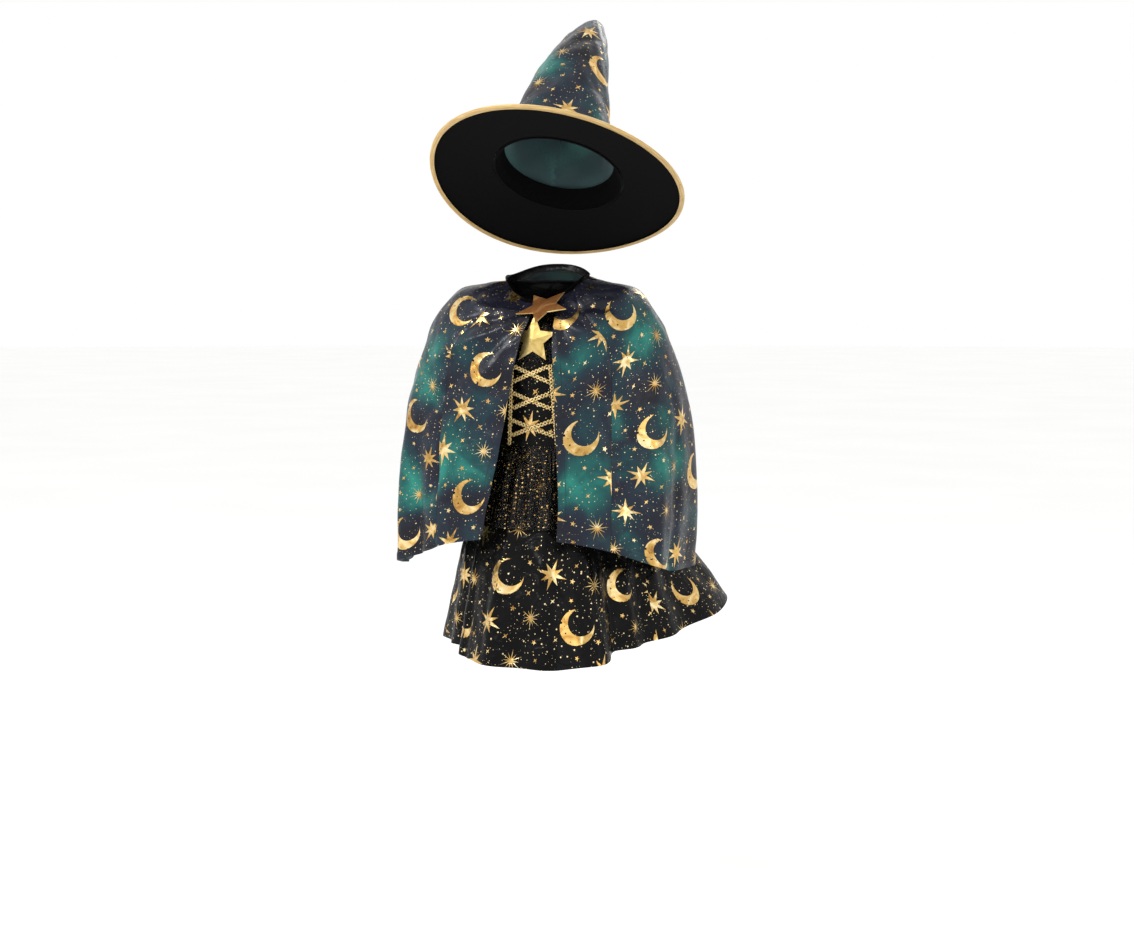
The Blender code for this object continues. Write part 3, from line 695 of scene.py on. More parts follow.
def lay_cloth(name, form, across, down, step, finishes, lift=None, thickness=CLOTH, hems=(), offset=(0, 0),
              closed=False, cloud_spot=None):
    """Lay a cloth of the given spans on a form, with about one step between its points.

    Where cloud_spot is given, the chart's first cloud falls there on the cut, and the top stays dark that far down.
    """
    coarse = form(*np.meshgrid(np.linspace(*across, 30), np.linspace(*down, 30)))
    columns = max(4, int(np.ceil(gaps_between(coarse, 1).sum(axis=1).max() / step)))
    rows = max(2, int(np.ceil(gaps_between(coarse, 0).sum(axis=0).max() / step)))
    at_across, at_down = np.meshgrid(np.linspace(*across, columns + 1), np.linspace(*down, rows + 1))
    base = form(at_across, at_down)
    flat_x, flat_y = flatten(base)
    rise = hem_lift(hems, flat_x, flat_y)
    if lift is not None:
        rise = rise + lift(at_across, at_down)
    points = base + lattice_outward(base) * rise[..., None]
    if closed:
        points[:, -1] = points[:, 0]

    bpy.ops.object.select_all(action="DESELECT")
    bpy.ops.mesh.primitive_grid_add(x_subdivisions=columns, y_subdivisions=rows, size=1)
    piece = bpy.context.object
    piece.name = piece.data.name = name
    mesh = piece.data
    spots = np.empty(len(mesh.vertices) * 3)
    mesh.vertices.foreach_get("co", spots)
    spots = spots.reshape(-1, 3)
    column = np.rint((spots[:, 0] + 0.5) * columns).astype(int)
    row = np.rint((0.5 - spots[:, 1]) * rows).astype(int)
    mesh.vertices.foreach_set("co", points[row, column].ravel())
    fan = fan_reach(flat_x, flat_y)
    cut_x, cut_y = open_fan(fan, flat_x[row, column], flat_y[row])
    print_x, print_y = cut_x + offset[0], cut_y + offset[1]
    if cloud_spot is None:
        cloud = cloud_at(print_x, print_y)
    else:
        first = CLOUD_CHART[0]
        cloud = cloud_at(cut_x - cloud_spot[0] + first.across, cut_y - cloud_spot[1] + first.down)
        cloud = cloud * ease(0.2 * cloud_spot[2], cloud_spot[2], flat_y[row] + 1e-4)
    add_flat_map(piece, print_x, print_y, cloud)
    mesh.update()
    if closed:
        select_only(piece)
        bpy.ops.object.mode_set(mode="EDIT")
        bpy.ops.mesh.select_all(action="SELECT")
        bpy.ops.mesh.remove_doubles(threshold=1e-5)
        bpy.ops.object.mode_set(mode="OBJECT")
    finish_sheet(piece, thickness, finishes)
    return Laid(piece, flat_x, flat_y, fan, points, lattice_outward(points), offset)


def spot_on_cloth(laid, x, y, lift):
    """Places on a laid cloth from places along and down its rows, and which of them lie inside its edges."""
    last_row, last_column = len(laid.flat_y) - 1, laid.flat_x.shape[1] - 1
    row = np.clip(np.interp(y, laid.flat_y, np.arange(last_row + 1)), 0, last_row - 1e-6)
    low = row.astype(int)
    share = row - low
    column = np.empty_like(x)
    inside = (y > laid.flat_y[0]) & (y < laid.flat_y[-1])
    for i in range(len(x)):
        line = laid.flat_x[low[i]] * (1 - share[i]) + laid.flat_x[low[i] + 1] * share[i]
        column[i] = np.interp(x[i], line, np.arange(last_column + 1))
        inside[i] &= line[0] < x[i] < line[-1]
    column = np.clip(column, 0, last_column - 1e-6)
    left = column.astype(int)
    slide = (column - left)[:, None]
    share = share[:, None]

    def blend_at(lattice):
        upper = lattice[low, left] * (1 - slide) + lattice[low, left + 1] * slide
        lower = lattice[low + 1, left] * (1 - slide) + lattice[low + 1, left + 1] * slide
        return upper * (1 - share) + lower * share
    return blend_at(laid.points) + blend_at(laid.outward) * lift, inside


def declare(laid, nodes, with_pieces=()):
    """Hang the sheet on the root and hide the parts of the model that it stands for."""
    settle(laid.piece, nodes)


def settle(piece, nodes=()):
    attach(piece, "root")
    if nodes:
        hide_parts(*nodes)
    return piece


# The foil print

def flat_shape(kind):
    """One motif of the print, flat and one unit tall, as points and triangles or quads."""
    bpy.ops.object.select_all(action="DESELECT")
    if kind == "moon":
        bpy.ops.mesh.primitive_grid_add(x_subdivisions=20, y_subdivisions=4, size=1)
    else:
        corners = {"star": 16, "burst": 24, "four": 8, "five": 10}[kind]
        bpy.ops.mesh.primitive_circle_add(vertices=corners, radius=1, fill_type="TRIFAN")
    shape = bpy.context.object
    for vertex in shape.data.vertices:
        vertex.co = moon_spot(vertex.co) if kind == "moon" else ray_spot(kind, vertex)
    bpy.ops.object.mode_set(mode="EDIT")
    bpy.ops.mesh.select_all(action="SELECT")
    if kind == "moon":
        bpy.ops.mesh.remove_doubles(threshold=1e-5)
    if kind in ("star", "burst"):
        bpy.ops.mesh.subdivide(number_cuts=3 if kind == "star" else 2)
    bpy.ops.object.mode_set(mode="OBJECT")
    points = np.array([vertex.co[:2] for vertex in shape.data.vertices])
    faces = [tuple(face.vertices) for face in shape.data.polygons]
    mesh = shape.data
    bpy.data.objects.remove(shape, do_unlink=True)
    bpy.data.meshes.remove(mesh)
    return points, faces


def moon_spot(spot):
    """A crescent between a large circle and a smaller one set to one side."""
    reach = radians(142)
    angle = pi - spot.x * 2 * reach
    outer = Vector((0.5 * cos(angle), 0.5 * sin(angle)))
    end = Vector((0.5 * cos(pi - reach), 0.5 * sin(pi - reach)))
    centre = 0.175
    inner_radius = (end - Vector((centre, 0))).length
    half = pi - Vector((end.x - centre, abs(end.y))).angle(Vector((1, 0)))
    inner_angle = pi - spot.x * 2 * half
    inner = Vector((centre + inner_radius * cos(inner_angle), inner_radius * sin(inner_angle)))
    across = outer.lerp(inner, spot.y + 0.5)
    return Vector((across.x, across.y, 0))


RAYS = {"star": (0.5, 0.155, 0.38, 0.155), "burst": (0.5, 0.085, 0.36, 0.085), "four": (0.5, 0.13, 0.36, 0.13),
        "five": (0.5, 0.21, 0.5, 0.21)}


def ray_spot(kind, vertex):
    """Stretch a disc's corners into rays, long and short in turn."""
    flat = Vector((vertex.co.x, vertex.co.y, 0))
    if flat.length < 1e-4:
        return flat
    return flat.normalized() * RAYS[kind][vertex.index % 4]


SHAPES = {kind: flat_shape(kind) for kind in ("moon", "star", "burst", "four", "five")}


def print_foil(name, laid, finishes, clear_top=0.0, kinds=("moon", "star", "burst", "four", "five")):
    """Fill a laid cloth with the print's repeat, cut off at its edges, as one thin piece of foil."""
    cut_x, cut_y = open_fan(laid.fan, laid.flat_x, laid.flat_y[:, None] + 0 * laid.flat_x)
    low_x, high_x, low_y, high_y = cut_x.min(), cut_x.max(), cut_y.min(), cut_y.max()
    points, faces, foils, local = [], [], [], []
    count = 0
    for motif in [row for row in PRINT_CHART if row.kind in kinds]:
        shape, shape_faces = SHAPES[motif.kind]
        turn = radians(motif.turn)
        spin = np.array([[cos(turn), -sin(turn)], [sin(turn), cos(turn)]])
        flat = shape @ spin.T * motif.size
        start_x = (motif.across - laid.offset[0] - low_x) % REPEAT[0] + low_x - REPEAT[0]
        start_y = (motif.down - laid.offset[1] - low_y) % REPEAT[1] + low_y - REPEAT[1]
        for x in np.arange(start_x, high_x + REPEAT[0], REPEAT[0]):
            for y in np.arange(start_y, high_y + REPEAT[1], REPEAT[1]):
                along, down = close_fan(laid.fan, x + flat[:, 0], y - flat[:, 1])
                if motif.size > 0.02 and down.mean() < clear_top or np.ptp(along) > 4 * motif.size:
                    continue
                spots, inside = spot_on_cloth(laid, along, down, FOIL_LIFT)
                kept = [face for face in shape_faces if inside[list(face)].any()]
                if not kept:
                    continue
                points.append(spots)
                local.append(flat)
                faces += [tuple(i + count for i in face) for face in kept]
                foils += [0 if motif.kind == "moon" else 1] * len(kept)
                count += len(spots)
    mesh = bpy.data.meshes.new(name)
    mesh.from_pydata(np.concatenate(points), [], faces)
    layer = mesh.uv_layers.new(name="motif")
    corners = np.empty(len(mesh.loops), dtype=int)
    mesh.loops.foreach_get("vertex_index", corners)
    layer.data.foreach_set("uv", np.concatenate(local)[corners].ravel())
    for finish in finishes:
        mesh.materials.append(finish)
    mesh.polygons.foreach_set("material_index", foils)
    piece = bpy.data.objects.new(name, mesh)
    bpy.context.scene.collection.objects.link(piece)
    select_only(piece)
    bpy.ops.object.mode_set(mode="EDIT")
    bpy.ops.mesh.select_all(action="SELECT")
    bpy.ops.mesh.delete_loose()
    bpy.ops.mesh.dissolve_degenerate(threshold=1e-5)
    bpy.ops.object.mode_set(mode="OBJECT")
    bpy.ops.object.shade_smooth()
    return settle(piece)


# Stitches

STITCH_LENGTH = 0.0022
STITCH_PITCH = 0.0034
STITCH_WIDTH = 0.0007
STITCH_BOX = [(-1, -1, 0), (1, -1, 0), (1, 1, 0), (-1, 1, 0), (-0.7, -0.6, 1), (0.7, -0.6, 1), (0.7, 0.6, 1),
              (-0.7, 0.6, 1)]
STITCH_FACES = [(4, 5, 6, 7), (0, 1, 5, 4), (1, 2, 6, 5), (2, 3, 7, 6), (3, 0, 4, 7), (3, 2, 1, 0)]


def stitch_line(laid, x, y):
    """Stitches along a line on the flat cloth, as boxes that follow its surface."""
    length = np.concatenate([[0], np.cumsum(np.hypot(np.diff(x), np.diff(y)))])
    centres = np.arange(STITCH_PITCH, length[-1], STITCH_PITCH)
    at_x, at_y = np.interp(centres, length, x), np.interp(centres, length, y)
    next_x = np.interp(centres + STITCH_LENGTH / 2, length, x)
    next_y = np.interp(centres + STITCH_LENGTH / 2, length, y)
    here, _ = spot_on_cloth(laid, at_x, at_y, 0.00005)
    there, _ = spot_on_cloth(laid, next_x, next_y, 0.00005)
    above, _ = spot_on_cloth(laid, at_x, at_y, 0.00035)
    run = there - here
    up = above - here
    side = np.cross(up, run)
    side *= STITCH_WIDTH / 2 / np.maximum(np.linalg.norm(side, axis=1, keepdims=True), 1e-12)
    corners = [here + run * a + side * b + up * c for a, b, c in STITCH_BOX]
    return np.stack(corners, axis=1)


def sew(name, lines, finish):
    boxes = np.concatenate(lines)
    faces = [tuple(i * 8 + corner for corner in face) for i in range(len(boxes)) for face in STITCH_FACES]
    mesh = bpy.data.meshes.new(name)
    mesh.from_pydata(boxes.reshape(-1, 3), [], faces)
    mesh.materials.append(finish)
    piece = bpy.data.objects.new(name, mesh)
    bpy.context.scene.collection.objects.link(piece)
    return settle(piece)


def along_side(laid, side, inset):
    """A line on the flat cloth a short way in from one of its sides."""
    if side in ("low", "high"):
        y = laid.flat_y[-1] - inset if side == "low" else laid.flat_y[0] + inset
        row = int(np.argmin(np.abs(laid.flat_y - y)))
        x = laid.flat_x[row][2:-2]
        return x, np.full_like(x, y)
    x = laid.flat_x[:, 0] + inset if side == "start" else laid.flat_x[:, -1] - inset
    return x[2:-2], laid.flat_y[2:-2]


# Materials

def paint(code):
    """An sRGB hex value as a linear colour."""
    parts = [int(code[i:i + 2], 16) / 255 for i in (1, 3, 5)]
    return (*(c / 12.92 if c <= 0.04045 else ((c + 0.055) / 1.055) ** 2.4 for c in parts), 1)


def add(tree, kind, sockets=(), **settings):
    """One node with its settings, and a value or a link for each named socket."""
    node = tree.nodes.new("ShaderNode" + kind)
    for name, value in settings.items():
        setattr(node, name, value)
    for socket, value in dict(sockets).items():
        if isinstance(value, bpy.types.NodeSocket):
            tree.links.new(value, node.inputs[socket])
        else:
            node.inputs[socket].default_value = value
    return node


def start_material(name, **constants):
    """A material with its shader's constant sockets set. A double underscore in a name stands for a space."""
    material = bpy.data.materials.new(name)
    material.use_nodes = True
    shader = material.node_tree.nodes["Principled BSDF"]
    for socket, value in constants.items():
        shader.inputs[socket.replace("__", " ")].default_value = value
    return material, material.node_tree, shader


def link(tree, output, shader, socket):
    tree.links.new(output, shader.inputs[socket])


def spread(tree, factor, stops):
    """A colour ramp through places and colours."""
    ramp = add(tree, "ValToRGB", {"Fac": factor})
    parts = ramp.color_ramp.elements
    while len(parts) < len(stops):
        parts.new(1.0)
    for part, (place, code) in zip(parts, stops):
        part.position = place
        part.color = paint(code)
    return ramp.outputs["Color"]


def math(tree, operation, *values):
    return add(tree, "Math", dict(enumerate(values)), operation=operation).outputs[0]


def blend(tree, factor, first, second):
    return add(tree, "Mix", {0: factor, 6: first, 7: second}, data_type="RGBA").outputs[2]


def gold_specks(tree, flat, spacing, largest, share):
    """Round specks of foil, one in some of the cells. Specks under a pixel are drawn at about a pixel."""
    cells = add(tree, "TexVoronoi", {"Vector": flat, "Scale": 1 / spacing, "Randomness": 0.9}, voronoi_dimensions="2D")
    luck = add(tree, "SeparateColor", {0: cells.outputs["Color"]}).outputs[0]
    size = add(tree, "MapRange", {"Value": luck, "From Min": 1 - share, "From Max": 1.0, "To Min": 0.0,
                                  "To Max": largest / spacing}).outputs[0]
    return math(tree, "LESS_THAN", cells.outputs["Distance"], size)


def satin_bump(tree, flat, weave, wrinkle):
    """Floating yarns run down the cloth. A real yarn is 0.2 mm, and here it is 1.2 mm so that the sheen breaks up."""
    yarn = add(tree, "Mapping", {"Vector": flat, "Scale": (830, 90, 1)}).outputs[0]
    threads = add(tree, "TexNoise", {"Vector": yarn, "Scale": 1.0, "Detail": 2.0}).outputs["Fac"]
    fine = add(tree, "Bump", {"Height": threads, "Strength": weave, "Distance": 0.0004})
    ripples = add(tree, "TexNoise", {"Vector": flat, "Scale": 34.0, "Detail": 3.0, "Distortion": 0.6}).outputs["Fac"]
    bump = add(tree, "Bump", {"Height": ripples, "Strength": wrinkle, "Distance": 0.004,
                              "Normal": fine.outputs["Normal"]})
    return bump.outputs["Normal"]


def galaxy_satin():
    """Polyester satin, printed with a galaxy: charcoal and navy with teal clouds, a soft silky shine."""
    material, tree, shader = start_material("galaxy_printed_satin", Sheen__Weight=0.05, Sheen__Roughness=0.35,
                                            Anisotropic=0.45, Specular__IOR__Level=0.25)
    flat = add(tree, "UVMap", uv_map="flat").outputs["UV"]
    cloud = add(tree, "Attribute", attribute_name="cloud").outputs["Fac"]
    wisps = add(tree, "TexNoise", {"Vector": flat, "Scale": 16.0, "Detail": 5.0, "Roughness": 0.55,
                                   "Distortion": 0.5}).outputs["Fac"]
    centred = math(tree, "SUBTRACT", wisps, 0.5)
    strength = math(tree, "MULTIPLY", math(tree, "MULTIPLY_ADD", centred, 1.5, cloud), 0.76)
    teal = spread(tree, strength, [(0.08, "#0a0b12"), (0.23, "#131621"), (0.37, "#14232f"), (0.52, "#11373d"),
                                   (0.70, "#155450"), (0.98, "#268072")])
    veil = add(tree, "TexNoise", {"Vector": flat, "Scale": 7.0, "Detail": 3.0}).outputs["Fac"]
    violet = spread(tree, veil, [(0.35, "#0a0a10"), (0.65, "#1d1e30")])
    quiet = math(tree, "SUBTRACT", 1.0, math(tree, "MINIMUM", math(tree, "MULTIPLY", strength, 1.3), 1.0))
    dyed = blend(tree, math(tree, "MULTIPLY", quiet, 0.55), teal, violet)
    specks = gold_specks(tree, flat, 0.0085, 0.0010, 0.50)
    dust = gold_specks(tree, flat, 0.0042, 0.0005, 0.22)
    gold = math(tree, "MAXIMUM", specks, dust)
    link(tree, blend(tree, gold, dyed, paint("#e9d4a4")), shader, "Base Color")
    link(tree, math(tree, "MULTIPLY", gold, 0.8), shader, "Metallic")
    link(tree, add(tree, "MapRange", {"Value": wisps, "To Min": 0.26, "To Max": 0.38}).outputs[0], shader, "Roughness")
    link(tree, satin_bump(tree, flat, 0.35, 0.55), shader, "Normal")
    return material


def galaxy_wrong_side():
    """The satin's unprinted back: paler and dull, with the print's teal showing through."""
    material, tree, shader = start_material("galaxy_satin_wrong_side", Sheen__Weight=0.2)
    flat = add(tree, "UVMap", uv_map="flat").outputs["UV"]
    cloud = add(tree, "Attribute", attribute_name="cloud").outputs["Fac"]
    fibre = add(tree, "TexNoise", {"Vector": flat, "Scale": 300.0, "Detail": 2.0}).outputs["Fac"]
    shade = math(tree, "MULTIPLY_ADD", fibre, 0.2, cloud)
    link(tree, spread(tree, shade, [(0.1, "#262b30"), (0.6, "#335053"), (1.0, "#4a7f79")]), shader, "Base Color")
    shader.inputs["Roughness"].default_value = 0.75
    link(tree, satin_bump(tree, flat, 0.25, 0.2), shader, "Normal")
    return material


def black_satin(name, specked):
    """Black polyester satin: nearly black, with a broad grey shine on its folds."""
    material, tree, shader = start_material(name, Anisotropic=0.45, Specular__IOR__Level=0.10)
    flat = add(tree, "UVMap", uv_map="flat").outputs["UV"]
    tone = add(tree, "TexNoise", {"Vector": flat, "Scale": 22.0, "Detail": 4.0}).outputs["Fac"]
    dyed = spread(tree, tone, [(0.3, "#050404"), (0.7, "#0d0c0c")])
    if specked:
        specks = gold_specks(tree, flat, 0.0095, 0.0012, 0.60)
        dust = gold_specks(tree, flat, 0.0046, 0.0006, 0.25)
        gold = math(tree, "MAXIMUM", specks, dust)
        link(tree, blend(tree, gold, dyed, paint("#e9d4a4")), shader, "Base Color")
        link(tree, math(tree, "MULTIPLY", gold, 0.8), shader, "Metallic")
    else:
        link(tree, dyed, shader, "Base Color")
    link(tree, add(tree, "MapRange", {"Value": tone, "To Min": 0.25, "To Max": 0.38}).outputs[0], shader, "Roughness")
    link(tree, satin_bump(tree, flat, 0.35, 0.85), shader, "Normal")
    return material


def net_cloth(name, hole, thread, speck_spacing, speck, share):
    """Nylon net, knitted with open holes and strewn with gold glitter: black lace-like haze that sparkles."""
    material, tree, shader = start_material(name, Roughness=0.55, Specular__IOR__Level=0.2)
    flat = add(tree, "UVMap", uv_map="flat").outputs["UV"]
    holes = add(tree, "TexVoronoi", {"Vector": flat, "Scale": 1 / hole, "Randomness": 0.15},
                voronoi_dimensions="2D", feature="DISTANCE_TO_EDGE").outputs["Distance"]
    threads = math(tree, "LESS_THAN", holes, thread)
    specks = gold_specks(tree, flat, speck_spacing, speck, share)
    dust = gold_specks(tree, flat, speck_spacing * 0.5, speck * 0.45, share * 0.6)
    gold = math(tree, "MAXIMUM", specks, dust)
    # Painted glints: the glitter's colour runs from dark brown to near white by noise, standing for flakes that catch
    # the light.
    sparkle = add(tree, "TexNoise", {"Vector": flat, "Scale": 260.0}).outputs["Fac"]
    glitter = spread(tree, sparkle, [(0.35, "#7a5a26"), (0.55, "#cfa45a"), (0.68, "#ffe9b4")])
    link(tree, blend(tree, gold, paint("#0c0b0b"), glitter), shader, "Base Color")
    link(tree, math(tree, "MULTIPLY", gold, 0.7), shader, "Metallic")
    solid = add(tree, "MapRange", {"Value": threads, "To Min": 0.30, "To Max": 0.90}).outputs[0]
    link(tree, math(tree, "MAXIMUM", solid, gold), shader, "Alpha")
    return material


def black_felt(name, rib):
    """Black needled felt or ribbed tape: matt, and it swallows the light."""
    material, tree, shader = start_material(name, Roughness=0.95, Specular__IOR__Level=0.06)
    flat = add(tree, "UVMap", uv_map="flat").outputs["UV"]
    fibre = add(tree, "TexNoise", {"Vector": flat, "Scale": 700.0, "Detail": 3.0}).outputs["Fac"]
    link(tree, spread(tree, fibre, [(0.3, "#070607"), (0.7, "#100f10")]), shader, "Base Color")
    height = fibre
    if rib:
        ribs = add(tree, "TexWave", {"Vector": flat, "Scale": 0.5 / rib}, bands_direction="X").outputs["Fac"]
        height = math(tree, "MULTIPLY_ADD", ribs, 3.0, fibre)
    bump = add(tree, "Bump", {"Height": height, "Strength": 0.5, "Distance": 0.0004})
    link(tree, bump.outputs["Normal"], shader, "Normal")
    return material


def gold_satin():
    """Old-gold satin bias binding, ironed double and sewn on: a soft metallic shine with fine lines along it."""
    material, tree, shader = start_material("gold_satin_binding", Metallic=0.25, Sheen__Weight=0.1)
    flat = add(tree, "UVMap", uv_map="flat").outputs["UV"]
    lines = add(tree, "Mapping", {"Vector": flat, "Scale": (40, 900, 1)}).outputs[0]
    yarn = add(tree, "TexNoise", {"Vector": lines, "Scale": 1.0, "Detail": 3.0}).outputs["Fac"]
    link(tree, spread(tree, yarn, [(0.3, "#a8864c"), (0.55, "#cbaa6c"), (0.75, "#e2c78d")]), shader, "Base Color")
    shader.inputs["Roughness"].default_value = 0.42
    bump = add(tree, "Bump", {"Height": yarn, "Strength": 0.6, "Distance": 0.0004})
    link(tree, bump.outputs["Normal"], shader, "Normal")
    return material


def gimp_braid():
    """Lurex gimp braid, metallic yarn wound on a cord: its colour is bright and dark by noise, as painted glints on the
    turns and painted shade in the gaps between them.
    """
    material, tree, shader = start_material("gold_gimp_braid", Metallic=0.45, Roughness=0.42)
    place = add(tree, "TexCoord").outputs["Object"]
    turns = add(tree, "TexNoise", {"Vector": place, "Scale": 900.0, "Detail": 2.0}).outputs["Fac"]
    # Painted glints and painted shade: the pale and dark colours stand for light on the turns and shade in the gaps.
    link(tree, spread(tree, turns, [(0.34, "#9a7430"), (0.47, "#e0bb6c"), (0.62, "#fff0c0")]), shader, "Base Color")
    bump = add(tree, "Bump", {"Height": turns, "Strength": 0.7, "Distance": 0.0004})
    link(tree, bump.outputs["Normal"], shader, "Normal")
    return material


def foil(name, dark, middle, light, roughness, grain, dots=False):
    """Hot-stamped metal foil: a mirror-like gold film that takes the cloth's small crinkles. Its colour turns darker
    and paler with the crinkles, as painted shade and painted glints.
    """
    material, tree, shader = start_material(name, Metallic=1.0)
    place = add(tree, "TexCoord").outputs["Object"]
    crinkle = add(tree, "TexNoise", {"Vector": place, "Scale": grain, "Detail": 4.0, "Distortion": 1.2}).outputs["Fac"]
    # Painted shade and painted glints: the dark and light colours follow the crinkle noise and stand for light on the
    # crinkles.
    colour = spread(tree, crinkle, [(0.3, dark), (0.5, middle), (0.7, light)])
    gloss = add(tree, "MapRange", {"Value": crinkle, "To Min": roughness - 0.06, "To Max": roughness + 0.12}).outputs[0]
    if dots:
        motif = add(tree, "UVMap", uv_map="motif").outputs["UV"]
        cells = add(tree, "TexVoronoi", {"Vector": motif, "Scale": 95.0, "Randomness": 0.8}, voronoi_dimensions="2D")
        luck = add(tree, "SeparateColor", {0: cells.outputs["Color"]}).outputs[0]
        hole = math(tree, "LESS_THAN", cells.outputs["Distance"], math(tree, "MULTIPLY", luck, 0.17))
        colour = blend(tree, hole, colour, paint("#1b1410"))
    link(tree, colour, shader, "Base Color")
    link(tree, gloss, shader, "Roughness")
    bump = add(tree, "Bump", {"Height": crinkle, "Strength": 0.55, "Distance": 0.002})
    link(tree, bump.outputs["Normal"], shader, "Normal")
    return material


def sewing_thread(name, code):
    """Spun polyester thread: matt with a slight twist."""
    material, tree, shader = start_material(name, Roughness=0.7)
    place = add(tree, "TexCoord").outputs["Object"]
    twist = add(tree, "TexNoise", {"Vector": place, "Scale": 1500.0}).outputs["Fac"]
    link(tree, blend(tree, math(tree, "MULTIPLY", twist, 0.5), paint(code), paint("#000000")), shader, "Base Color")
    return material


def painted_floor():
    """Matt white studio floor paint: pale, with a faint unevenness."""
    material, tree, shader = start_material("matt_white_floor", Roughness=0.9)
    place = add(tree, "TexCoord").outputs["Object"]
    tone = add(tree, "TexNoise", {"Vector": place, "Scale": 1.5}).outputs["Fac"]
    link(tree, spread(tree, tone, [(0.3, "#fbfbfa"), (0.7, "#fefefd")]), shader, "Base Color")
    return material


GALAXY = [galaxy_satin(), galaxy_wrong_side()]
PLAIN_SATIN = [black_satin("black_satin", specked=False)]
PRINTED_SATIN = [black_satin("black_printed_satin", specked=True)]
GLITTER_TULLE = [net_cloth("glitter_tulle", 0.0026, 0.13, 0.0072, 0.0013, 0.80)]
DOTTED_MESH = [net_cloth("dotted_mesh", 0.0018, 0.15, 0.0075, 0.0009, 0.65)]
UNDER_FELT = [black_felt("black_felt", rib=None)]
RIBBED_TAPE = [black_felt("black_ribbed_tape", rib=HEADBAND_RIB)]
GOLD_SATIN = [gold_satin()]
BRAID = gimp_braid()
# The first and last colour of each foil are painted shade and painted glints on its crinkles.
PRINT_FOIL = [foil("stamped_gold_foil_moons", "#a87a3a", "#d8b068", "#fde9b4", 0.27, 45.0, dots=True),
              foil("stamped_gold_foil", "#a87a3a", "#dcb670", "#ffeebc", 0.25, 60.0)]
COPPER_FOIL = foil("copper_gold_foil", "#a4683a", "#cc8c52", "#ecbc80", 0.46, 28.0)
PALE_FOIL = foil("pale_gold_foil", "#a68c4c", "#c9b070", "#e8d69a", 0.38, 34.0)
DARK_THREAD = sewing_thread("dark_thread", "#0d1216")


# Making the pieces

def build_dress():
    front, back = dress_form(back=False), dress_form(back=True)
    edge = DRESS_EDGE
    seam = SEAM_GAP / BODICE[0].width / 2
    fit = lambda across, down: pressed(BODICE_CREASES, across, down, BODICE_SCALE)

    binding = {}
    for name, form, below in (("front", front, NET), ("back", back, CLOTH)):
        lift = lambda across, down: 0 * across + 0.0016
        reach = NECK_SHARE * edge
        binding[name] = lay_cloth(f"neck_binding_{name}", form, (-reach, reach), (0.012, 0.085), 0.002, PLAIN_SATIN,
                                  lift=lift, thickness=0.0009)
        settle(binding[name].piece, [f"neck_binding_{name}"])

    yoke = lay_cloth("yoke_front", front, (-edge, edge), (0.004, 1 - seam), 0.003, DOTTED_MESH, thickness=NET)
    declare(yoke, ["yoke_front"], with_pieces=[binding["front"].piece])
    bodice = lay_cloth("bodice_front", front, (-edge, edge), (1 + seam, 2 - seam), 0.003, PRINTED_SATIN, lift=fit,
                       offset=(0.104, 0.118))
    declare(bodice, ["bodice_front"],
            with_pieces=[print_foil("bodice_front_print", bodice, PRINT_FOIL, kinds=("star", "four", "five"))])
    for name, start, end in (("left", -edge, 0), ("right", 0, edge)):
        half = lay_cloth(f"bodice_back_{name}", back, (start, end), (0.004, 2 - seam), 0.003, PLAIN_SATIN, lift=fit)
        pieces = [binding["back"].piece] if name == "left" else []
        declare(half, [f"bodice_back_{name}"], with_pieces=pieces)


def build_skirt():
    for name, low, high, offset in (("front", -1, 0, (0.06, 0.03)), ("back", 0, 1, (0.11, 0.08))):
        skirt = lay_cloth(f"skirt_{name}", skirt_form, (low, high), (0.0014, 1), 0.004, PRINTED_SATIN,
                          lift=skirt_lift, offset=offset)
        foil_print = print_foil(f"skirt_{name}_print", skirt, PRINT_FOIL)
        declare(skirt, [f"skirt_{name}"], with_pieces=[foil_print])
        overlay = lay_cloth(f"overlay_{name}", skirt_form, (low, high), (0.0014, OVERLAY_SHARE), 0.003,
                            GLITTER_TULLE, lift=overlay_lift, thickness=NET)
        declare(overlay, [f"overlay_{name}"])


